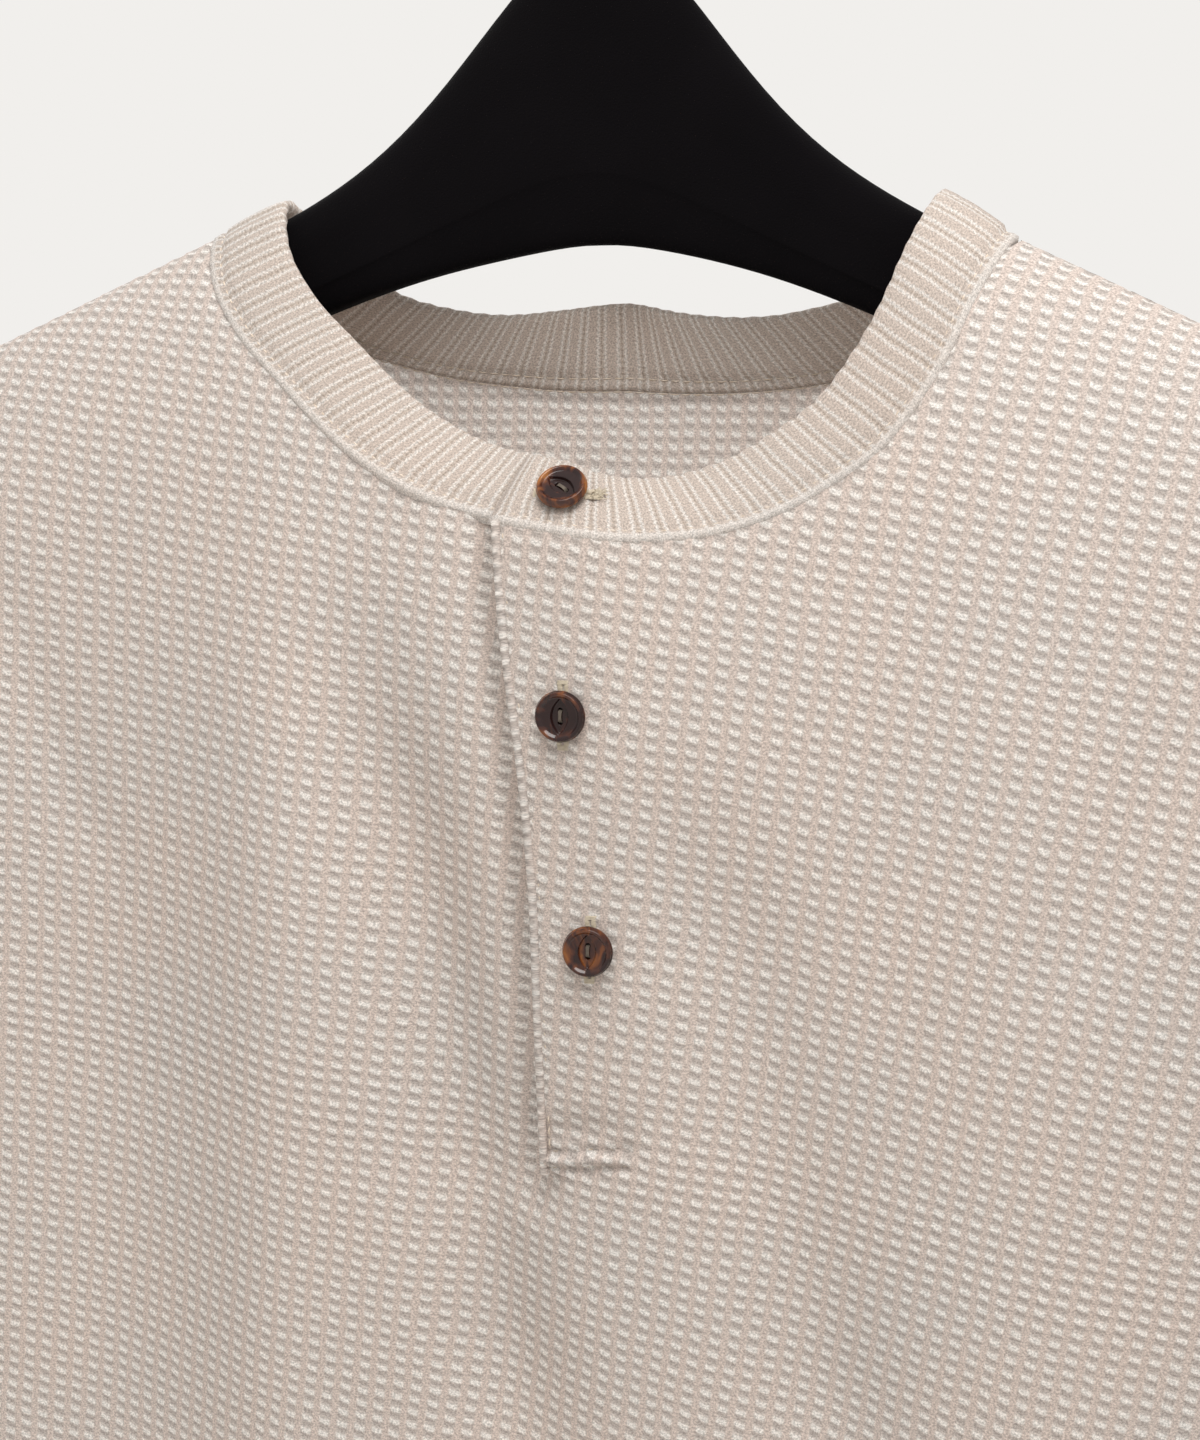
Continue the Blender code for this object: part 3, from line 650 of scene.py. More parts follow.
@dataclass(frozen=True)
class TorsoForm:
    """The form on which front and back hang, as the part's solids have it."""
    ridge_top: float = -0.0843
    ridge_round: float = 0.030
    arm_slope: float = 0.460
    ridge_forward: float = 0.008
    neck_half: float = 0.0975
    shoulder_x: float = 0.235
    chest_x: float = 0.262
    underarm_t: float = -0.360
    hem_t: float = -0.835
    drape_depth: float = 0.024
    drape_round: float = 0.024
    bulge: float = 0.016
    bulge_width: float = 0.065
    bulge_t: float = -0.200
    bulge_fade: float = 0.15
    settle: float = 0.030
    open_armhole: float = 0.050
    armhole_fade: float = 0.12
    placket_end: float = -0.3512
    # Seams of the neck: x across, z height in space.
    front_neck: tuple = (
        (-0.0975, -0.1312), (-0.0915, -0.1430), (-0.0830, -0.1535), (-0.0690, -0.1655),
        (-0.0480, -0.1815), (-0.0280, -0.1910), (0.0000, -0.1968), (0.0260, -0.1985),
        (0.0430, -0.1960), (0.0630, -0.1868), (0.0800, -0.1715), (0.0880, -0.1570),
        (0.0930, -0.1430), (0.0975, -0.1312))
    back_neck: tuple = (
        (-0.0975, -0.1312), (-0.0895, -0.1440), (-0.0750, -0.1540), (-0.0550, -0.1605),
        (-0.0250, -0.1645), (0.0040, -0.1652), (0.0300, -0.1645), (0.0580, -0.1603),
        (0.0770, -0.1535), (0.0900, -0.1435), (0.0975, -0.1312))
    # Armhole and side seam: height t, half width x.
    outer: tuple = (
        (-0.1880, 0.2350), (-0.2200, 0.2285), (-0.2600, 0.2235), (-0.3000, 0.2230),
        (-0.3350, 0.2310), (-0.3600, 0.2450), (-0.3780, 0.2620), (-0.4100, 0.2620),
        (-0.8350, 0.2620))
    # Free edge of the placket: height t, x.
    placket: tuple = (
        (-0.190, -0.0108), (-0.226, -0.0074), (-0.262, -0.0024), (-0.286, -0.0003),
        (-0.312, 0.0004), (-0.352, 0.0014))
    # Soft folds: x and t at the top, x and t at the foot, half width, height.
    front_folds: tuple[Fold, ...] = (
        (-0.066, -0.210, -0.060, -0.700, 0.020, 0.0060),
        (-0.120, -0.240, -0.112, -0.760, 0.030, -0.0090),
        (-0.044, -0.235, 0.000, -0.430, 0.017, -0.0060),
        (0.000, -0.430, 0.010, -0.800, 0.026, -0.0050),
        (0.037, -0.270, 0.072, -0.420, 0.018, -0.0042),
        (0.072, -0.400, 0.086, -0.780, 0.024, -0.0055),
        (0.108, -0.200, 0.118, -0.700, 0.030, 0.0050),
        (0.176, -0.330, 0.166, -0.840, 0.026, -0.0085),
        (-0.180, -0.340, -0.172, -0.840, 0.024, -0.0070))
    back_folds: tuple[Fold, ...] = (
        (-0.130, -0.250, -0.120, -0.800, 0.034, -0.0080),
        (0.020, -0.300, -0.010, -0.840, 0.040, -0.0060),
        (0.140, -0.230, 0.118, -0.780, 0.030, -0.0085),
        (0.075, -0.260, 0.060, -0.700, 0.026, 0.0045),
        (-0.060, -0.220, -0.056, -0.720, 0.028, 0.0050))
    # Small creases that lie on the folds, in the same columns.
    front_creases: tuple[Fold, ...] = (
        (-0.214, -0.352, -0.150, -0.420, 0.008, -0.0020),
        (-0.222, -0.372, -0.176, -0.470, 0.010, 0.0018),
        (0.214, -0.356, 0.146, -0.436, 0.009, -0.0022),
        (0.228, -0.380, 0.190, -0.500, 0.010, 0.0016),
        (-0.150, -0.215, -0.120, -0.290, 0.009, -0.0011),
        (0.152, -0.218, 0.118, -0.300, 0.010, -0.0010),
        (0.046, -0.560, 0.020, -0.690, 0.012, -0.0016),
        (-0.060, -0.640, -0.030, -0.790, 0.012, -0.0015),
        (-0.034, -0.262, -0.010, -0.420, 0.013, -0.0036),
        (-0.014, -0.400, 0.006, -0.560, 0.016, -0.0026),
        (0.130, -0.600, 0.150, -0.760, 0.011, 0.0014))
    back_creases: tuple[Fold, ...] = (
        (-0.216, -0.356, -0.130, -0.450, 0.012, -0.0040),
        (-0.226, -0.390, -0.160, -0.520, 0.014, 0.0030),
        (0.216, -0.350, 0.140, -0.434, 0.011, -0.0038),
        (0.226, -0.376, 0.170, -0.500, 0.013, 0.0032),
        (-0.150, -0.190, -0.060, -0.330, 0.014, -0.0028),
        (0.140, -0.186, 0.070, -0.340, 0.015, -0.0030),
        (-0.040, -0.240, 0.010, -0.380, 0.015, -0.0026),
        (0.070, -0.470, 0.030, -0.660, 0.017, -0.0034),
        (-0.100, -0.520, -0.070, -0.780, 0.016, 0.0032),
        (0.150, -0.560, 0.160, -0.770, 0.016, -0.0030))

    def ridge_y(self, x: Array) -> Array:
        """How far forward the shoulder line lies."""
        return -self.ridge_forward * (x / self.shoulder_x) ** 2

    def ridge_z(self, x: Array) -> Array:
        """Height of the shoulder line, carried on across the neck."""
        return self.ridge_top - self.arm_slope * np.hypot(x, self.ridge_round)

    def drop(self, run: Array) -> Array:
        """How far down the cloth is after a run of it has come over the arm."""
        turns = np.maximum(run, 0.0) / self.drape_round
        fall = np.sqrt(1 - np.exp(-2 * turns))
        return self.drape_round * (np.log1p(fall) + turns - fall)

    def cloth_height(self, x: Array, z: Array) -> Array:
        """The cloth height t of a place seen at height z."""
        runs = np.linspace(0.0, 1.0, 20001)
        return self.ridge_z(x) - np.interp(self.ridge_z(x) - z, self.drop(runs), runs)

    def edge_x(self, t: Array) -> Array:
        """Half width of the torso: the armhole, then the side seam."""
        return read_table(t, np.array(self.outer))

    def placket_x(self, t: Array) -> Array:
        """Where the placket's free edge lies."""
        return read_table(t, np.array(self.placket))

    def neck_t(self, x: Array, side: Side) -> Array:
        """Cloth height of the neck seam."""
        table = self.front_neck if side is Side.FRONT else self.back_neck
        return self.cloth_height(x, read_table(x, np.array(table)))

    def top_t(self, x: Array, side: Side) -> Array:
        """Cloth height of a panel's upper edge: the neck seam, then the shoulder seam."""
        inside = np.abs(x) < self.neck_half
        return np.where(inside, self.neck_t(x, side), self.ridge_z(x)) - GAP

    def folds(self, table: tuple[Fold, ...], x: Array, t: Array) -> Array:
        """Sum of soft folds at a place.

        Args:
            table: the folds.
            x: across the torso.
            t: height on the cloth.

        Returns:
            How far the cloth stands out.
        """
        total = np.zeros(np.broadcast(x, t).shape)
        for x_top, t_top, x_low, t_low, half_width, height in table:
            along = (t_top - t) / (t_top - t_low)
            centre = x_top + (x_low - x_top) * np.clip(along, -0.3, 1.3)
            ends = smooth_step((along + FOLD_OVER) / FOLD_FADE) * smooth_step(
                (1 + FOLD_OVER - along) / FOLD_FADE)
            total = total + height * bell((x - centre) / half_width) * ends
        return total

    def point(self, x: Array, t: Array, side: Side) -> Array:
        """A point of the draped torso.

        Args:
            x: across the torso.
            t: height on the cloth.
            side: front or back.

        Returns:
            Points in space.
        """
        run = np.maximum(self.ridge_z(x) - t, 0.0)
        reach = self.chest_x + self.open_armhole * smooth_step(
            (t - self.underarm_t) / self.armhole_fade)
        edge = np.sqrt(np.maximum(1 - np.minimum(np.abs(x) / reach, 1.0) ** 4, 0.0))
        depth = self.drape_depth * (1 - np.exp(-run / self.drape_round))
        settled = 1 - np.exp(-run / self.settle)
        front = side is Side.FRONT
        depth = depth + self.folds(self.front_folds if front else self.back_folds,
                                   x, t) * settled
        depth = depth + self.folds(self.front_creases if front else self.back_creases,
                                   x, t) * settled
        if front:
            low = np.maximum(self.bulge_t - t, 0.0) / self.bulge_fade
            depth = depth + self.bulge * settled * np.exp(
                -(x / self.bulge_width) ** 2 - low ** 2)
        y = self.ridge_y(x) + side.value * (GAP / 2 + depth * edge)
        z = self.ridge_z(x) - self.drop(run)
        return np.stack(np.broadcast_arrays(x, y, z), axis=-1)

    def normal(self, x: Array, t: Array, side: Side, step: float = 0.0008) -> Array:
        """Outward unit normal of the draped torso at a place."""
        across = self.point(x + step, t, side) - self.point(x - step, t, side)
        up = self.point(x, t + step, side) - self.point(x, t - step, side)
        return unit(np.cross(across, up) * -side.value)


@dataclass(frozen=True)
class Sewing:
    """A row of lockstitches: how long each shows, its pitch and the thread's radius."""
    length: float = 0.0022
    pitch: float = 0.0029
    radius: float = 0.00022
    sides: int = 5

    def along(self, parts: Parts, line: Array, out: Array) -> None:
        """Sew along a line of points.

        Args:
            parts: where the stitches are gathered.
            line: points on the cloth.
            out: the cloth's outward normal at each.
        """
        run = arc_lengths(line)
        starts = np.arange(self.pitch * 0.5, run[-1] - self.length, self.pitch)
        shares = np.linspace(0.0, 1.0, 5)
        places = starts[:, None] + self.length * shares
        centre = along_line(line, places)
        normal = unit(read_rows(out, run, places))
        forward = unit(np.gradient(centre, axis=1))
        beside = np.cross(forward, normal)
        sink = (2 * shares - 1) ** 2
        centre = centre + normal * (self.radius * (0.9 - 2.1 * sink))[None, :, None]
        turn = np.linspace(0, 2 * math.pi, self.sides, endpoint=False)
        size = self.radius * np.sqrt(np.maximum(1 - 0.8 * sink, 0.05))
        ring = (np.cos(turn)[:, None] * normal[:, :, None, :]
                + np.sin(turn)[:, None] * beside[:, :, None, :])
        points = centre[:, :, None, :] + ring * size[None, :, None, None]
        for stitch in points:
            faces = grid_faces(len(shares), self.sides, wrap=True)
            parts.add(stitch, faces)


# ---- the shirt -----------------------------------------------------------------------------
@dataclass
class Torso:
    """Front and back, the placket's folded edge and foot, and the turned hem."""
    form: TorsoForm
    gauge: Gauge
    cloth: bpy.types.Material
    thread: bpy.types.Material
    underlap: float = 0.005        # how far the right front runs under the placket
    step: float = 0.0052           # how much lower it lies there
    step_reach: float = 0.018
    groove: float = 0.0034         # extra depth of the shaded hollow beside the slit
    groove_off: float = 0.0032     # from the edge to its middle
    groove_half: float = 0.0030    # its half width
    overlap: float = 0.002         # how far past the edge the drop starts to fade
    overlap_fade: float = 0.010
    foot_fade: float = 0.008
    step_foot: float = 0.016
    coarse_below: float = -0.600   # from here down a row of points serves a whole course
    lean_from: float = -0.620      # the wales stand upright below this height
    lean_full: float = -0.450      # and lean fully above this one
    lean_degrees: float = 6.0
    lean_spread: float = 6.0       # how much more they lean for each lean_over to the left
    lean_over: float = 0.25
    back_lean: float = 1.5
    course_fall: float = 0.13      # how steeply courses run down to the wearer's left, up there
    fine_below: float = 0.004      # every half course has its row from here below the foot
    fine_above: float = 0.014      # to here above it
    box_width: float = 0.0215
    box_rows: float = 0.0038       # between the two rows of stitches at the placket's foot
    box_rise: float = 0.14         # how steeply those rows climb away from the slit
    puff: float = 0.0011           # how far the cloth swells between them
    pull: float = 0.0014           # how deep they pull it in
    # Dents at the foot: depth, height and half height, place across and half width. The first
    # is the hollow above the rows and the second the tuck at their far end.
    dents: tuple = ((0.0018, 0.0085, 0.0040, 0.0100, 0.0110),
                    (0.0012, 0.0040, 0.0030, 0.0215, 0.0022))
    edge_wide: float = 0.0010      # half width of the placket's rolled edge
    edge_thick: float = 0.00080    # and half its thickness
    edge_top: float = -0.2030      # where it starts, under the neck seam
    under_top: float = -0.2005     # where the under placket starts
    under_columns: int = 10        # its width in half wales, and one
    front_top: float = -0.070      # above every point of the front
    back_top: float = -0.095       # and of the back
    widest: int = 170              # half wales from the middle to past the side seam
    uneven: float = 0.00003        # how much the threads' height varies
    seam_depth: float = 0.0004     # how far the cloth dips at its seams
    seam_half: float = 0.0022
    row_gap: float = 0.0045        # between the hem's two rows of stitches
    hem_depth: float = 0.022

    def __post_init__(self) -> None:
        """Measure the cloth across the chest, where no fold stands."""
        xs = np.linspace(0.0, self.form.chest_x, 600)
        edge = np.sqrt(np.maximum(1 - (xs / self.form.chest_x) ** 4, 0.0))
        line = np.stack([xs, self.form.drape_depth * edge, 0 * xs], axis=-1)
        self.chest_line = np.stack([xs, arc_lengths(line)])
        self.rng = np.random.default_rng(11)

    def grain_x(self, u: Array, t: Array, side: Side) -> Array:
        """Where a wale lies.

        Args:
            u: the wale's place across the flat cloth.
            t: height on the cloth.
            side: front or back.

        Returns:
            x in space.
        """
        xs, run = self.chest_line
        flat = np.sign(u) * (np.interp(np.abs(u), run, xs)
                             + np.maximum(np.abs(u) - run[-1], 0.0))
        span = self.lean_full - self.lean_from
        share = np.clip((t - self.lean_from) / span, 0.0, 1.0)
        leant = span * (share ** 3 - share ** 4 / 2) + np.maximum(t - self.lean_full, 0.0)
        degrees = self.lean_degrees + self.lean_spread * u / self.lean_over
        if side is Side.BACK:
            degrees = np.full_like(u, self.back_lean)
        return flat + np.tan(np.radians(degrees)) * leant

    def course_t(self, x: Array, t: Array, side: Side) -> Array:
        """Height of a course at x, for a course that crosses the slit at height t."""
        if side is Side.BACK:
            return t
        share = smooth_step((t - self.lean_from) / (self.lean_full - self.lean_from))
        return t - self.course_fall * share * (x - self.form.placket[-1][1])

    def row_heights(self, low: float, high: float) -> tuple[Array, Array]:
        """Rows of the lattice between two heights, with their place in half courses.

        Args:
            low: lowest height.
            high: highest height.

        Returns:
            Heights t from the top down, and whole half courses, even on a bar.
        """
        end, half = self.form.placket_end, self.gauge.course / 2
        numbers = np.arange(2 * math.floor((low - end) / half),
                            2 * math.ceil((high - end) / half) + 1) / 2
        heights = end + numbers * half
        near_box = (heights > end - self.fine_below) & (heights < end + self.fine_above)
        fine = near_box | ((heights > self.coarse_below) & (numbers % 1 == 0))
        fine |= numbers % 2 == 0
        numbers, heights = numbers[fine], heights[fine]
        return np.clip(heights, low, None)[::-1], numbers[::-1]

    def slit_drop(self, x: Array, t: Array) -> Array:
        """How far the right front sinks beside and just below the slit."""
        edge = self.form.placket_x(t)
        beside = np.maximum(edge + self.underlap - x, 0.0)
        below = smooth_step((t - self.form.placket_end + self.step_foot) / self.step_foot)
        fade = 1 - smooth_step((x - edge + self.overlap) / self.overlap_fade)
        under = smooth_step((t - self.form.placket_end) / self.foot_fade)
        drop = self.step * np.exp(-beside / self.step_reach) * np.maximum(fade, under)
        groove = self.groove * bell((x - edge + self.groove_off) / self.groove_half)
        return (drop + groove) * below

    def box_relief(self, x: Array, t: Array) -> Array:
        """Pull of the stitches at the placket's foot: two grooves and a hollow above them."""
        across = x - self.form.placket_x(t)
        within = smooth_step((across + 0.001) / 0.003) * smooth_step(
            (self.box_width + 0.002 - across) / 0.003)
        up = t - self.form.placket_end - self.box_rise * np.maximum(across, 0.0)
        grooves = bell(up / 0.0009) + bell((up - self.box_rows) / 0.0010)
        puff = bell((up - self.box_rows / 2) / 0.0012)
        relief = within * (self.puff * puff - self.pull * grooves)
        for depth, rise, half_rise, over, half_over in self.dents:
            relief -= depth * bell((up - rise) / half_rise) * bell((across - over) / half_over)
        return relief

    def lattice(self, parts: Parts, side: Side, low: float, high: float,
                left: Callable[[Array], Array], right: Callable[[Array], Array],
                drops: bool = False) -> None:
        """Knit one region of a panel.

        Args:
            parts: where it is gathered.
            side: front or back.
            low: its lowest height.
            high: its highest height.
            left: its bound towards -X at a height.
            right: its bound towards +X at a height.
            drops: whether it sinks beside the slit.
        """
        half = self.gauge.wale / 2
        columns = np.arange(-self.widest, self.widest + 1)
        heights, numbers = self.row_heights(low, high)
        u = columns[None, :] * half * np.ones((len(heights), 1))
        v = heights[:, None] * np.ones((1, len(columns)))
        x0 = self.grain_x(u, v, side)
        t0 = self.course_t(x0, v, side)
        top = self.form.top_t(x0, side)
        inside = (x0 > left(t0)) & (x0 < right(t0)) & (t0 < top)
        x = np.clip(x0, left(t0), right(t0))
        t = np.minimum(t0, self.form.top_t(x, side))
        keep = cells_touching(inside)
        touched = np.zeros_like(inside)
        for rows in (slice(0, -1), slice(1, None)):
            for cols in (slice(0, -1), slice(1, None)):
                touched[rows, cols] |= keep
        relief = self.gauge.relief(columns[None, :], numbers[:, None]) * np.ones_like(x)
        relief += self.rng.normal(0.0, self.uneven, x.shape)
        seam = np.minimum(self.form.edge_x(t) - np.abs(x), self.form.top_t(x, side) - t)
        relief -= self.seam_depth * bell(np.maximum(seam, 0.0) / self.seam_half)
        px, pt = x[touched], t[touched]
        normal = self.form.normal(px, pt, side)
        height = relief[touched]
        if side is Side.FRONT:
            height = height + self.box_relief(px, pt)
        base = self.form.point(px, pt, side)
        if drops:
            base[:, 1] += self.slit_drop(px, pt)
        points = np.zeros((*x.shape, 3))
        points[touched] = base + normal * height[:, None]
        places = np.stack([u + (x - x0), v + (t - t0) - self.form.placket_end], axis=-1)
        faces = grid_faces(*x.shape, keep=keep)
        if side is Side.BACK:
            faces = faces[:, ::-1]
        parts.add(points, faces, places)

    def make_front(self) -> bpy.types.Object:
        """Knit the front with its cut-on upper placket."""
        form, parts = self.form, Parts()
        end, top = form.placket_end, self.front_top
        self.lattice(parts, Side.FRONT, form.hem_t, end,
                     lambda t: -form.edge_x(t), form.edge_x, drops=True)
        self.lattice(parts, Side.FRONT, end, top, form.placket_x, form.edge_x)
        self.lattice(parts, Side.FRONT, end, top, lambda t: -form.edge_x(t),
                     lambda t: form.placket_x(t) + self.underlap, drops=True)
        piece = parts.finish("front", self.cloth, Slot.KNIT, weld=True)
        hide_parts("front", "placket_upper")
        return piece

    def make_back(self) -> bpy.types.Object:
        """Knit the back."""
        form, parts = self.form, Parts()
        self.lattice(parts, Side.BACK, form.hem_t, self.back_top,
                     lambda t: -form.edge_x(t), form.edge_x)
        piece = parts.finish("back", self.cloth, Slot.KNIT, weld=True)
        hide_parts("back")
        return piece

    def make_under_placket(self) -> bpy.types.Object:
        """Knit the under strip, which carries the buttons."""
        form, parts = self.form, Parts()
        heights, numbers = self.row_heights(form.placket_end, form.placket[0][0])
        columns = np.arange(self.under_columns)
        t = heights[:, None] * np.ones((1, len(columns)))
        t = np.minimum(t, self.under_top)
        start = form.placket_x(t) + self.underlap - 0.002
        x = start + columns * self.gauge.wale / 2
        points = form.point(x, t, Side.FRONT)
        relief = self.gauge.relief(columns[None, :], numbers[:, None])
        points[..., 1] += self.step + GAP - relief
        parts.add(points, grid_faces(*x.shape), np.stack([x, t], axis=-1))
        piece = parts.finish("placket_under", self.cloth, Slot.KNIT)
        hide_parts("placket_under")
        return piece

    def make_placket_edge(self) -> bpy.types.Object:
        """Roll the placket's free edge: cloth turned under and stitched close by."""
        form, parts = self.form, Parts()
        t = np.linspace(self.edge_top, form.placket_end - 0.0010, 220)
        x = form.placket_x(t)
        base = form.point(x, t, Side.FRONT)
        out = form.normal(x, t, Side.FRONT)
        down = unit(np.gradient(base, axis=0))
        across = unit(np.cross(down, out))
        across *= np.sign(across[:, :1])
        turn = np.radians(np.linspace(-20.0, 250.0, 11))
        knots = 1 + 0.10 * np.sin(arc_lengths(base) / self.gauge.course * 2 * math.pi)
        ring = []
        for angle in turn:
            sideways = 0.0008 + self.edge_wide * math.cos(angle)
            ring.append(base + across * sideways
                        + out * (self.edge_thick * knots * (math.sin(angle) + 0.10))[:, None])
        points = np.stack(ring, axis=1)
        places = np.stack(np.broadcast_arrays(
            self.gauge.wale * 0.20 + 0.0002 * turn[None, :], t[:, None]), axis=-1)
        parts.add(points, grid_faces(*points.shape[:2])[:, ::-1], places)
        return parts.finish("placket_edge", self.cloth, Slot.KNIT)

    def make_stitches(self) -> bpy.types.Object:
        """Sew down the placket's edge and foot, and the hem."""
        form, parts = self.form, Parts()
        sew = Sewing()
        t = np.linspace(self.edge_top - 0.0010, form.placket_end + self.box_rows, 160)
        x = form.placket_x(t) + 0.0024
        out = form.normal(x, t, Side.FRONT)
        sew.along(parts, form.point(x, t, Side.FRONT) - out * 0.0003, out)
        for up in (0.0, self.box_rows):
            across = np.linspace(0.0005, self.box_width, 40)
            x = form.placket_x(form.placket_end) + across
            t = (form.placket_end + up + self.box_rise * across
                 + 0.0004 * np.sin(np.linspace(0, math.pi, 40)))
            out = form.normal(x, t, Side.FRONT)
            base = form.point(x, t, Side.FRONT) + out * self.box_relief(x, t)[:, None]
            sew.along(parts, base, out)
        for side in Side:
            for up in (self.hem_depth, self.hem_depth - self.row_gap):
                x = np.linspace(-1, 1, 700) * (form.chest_x - 0.002)
                t = np.full_like(x, form.hem_t + up)
                out = form.normal(x, t, side)
                sew.along(parts, form.point(x, t, side), out)
        return parts.finish("torso_stitches", self.thread, Slot.KNIT)

    def make_hem(self) -> bpy.types.Object:
        """Turn the hem up inside, with a rounded fold at the bottom."""
        form, parts = self.form, Parts()
        half = np.sin(np.linspace(-math.pi / 2, math.pi / 2, 181)) * form.chest_x
        section = fold_inward(self.hem_depth)
        rings = []
        for side, xs in ((Side.FRONT, half), (Side.BACK, half[::-1])):
            t = np.full_like(xs, form.hem_t)
            inner = np.clip(xs, -form.chest_x + 0.0006, form.chest_x - 0.0006)
            base = form.point(inner, t, side)
            y_out = np.array([0.0, float(side.value), 0.0])
            fade = np.sqrt(np.maximum(1 - (xs / form.chest_x) ** 2, 0.0))
            ring = [base + y_out * (out * fade)[:, None] + np.array([0, 0, up])
                    for out, up in section]
            rings.append(np.stack(ring, axis=0)[:, :-1])
        points = np.concatenate(rings, axis=1)
        run = arc_lengths(points[0])
        places = np.stack(np.broadcast_arrays(
            run[None, :], np.array([up - out for out, up in section])[:, None]), axis=-1)
        faces = grid_faces(*points.shape[:2], wrap=True)
        parts.add(points, faces, places)
        return parts.finish("hem", self.cloth, Slot.KNIT)


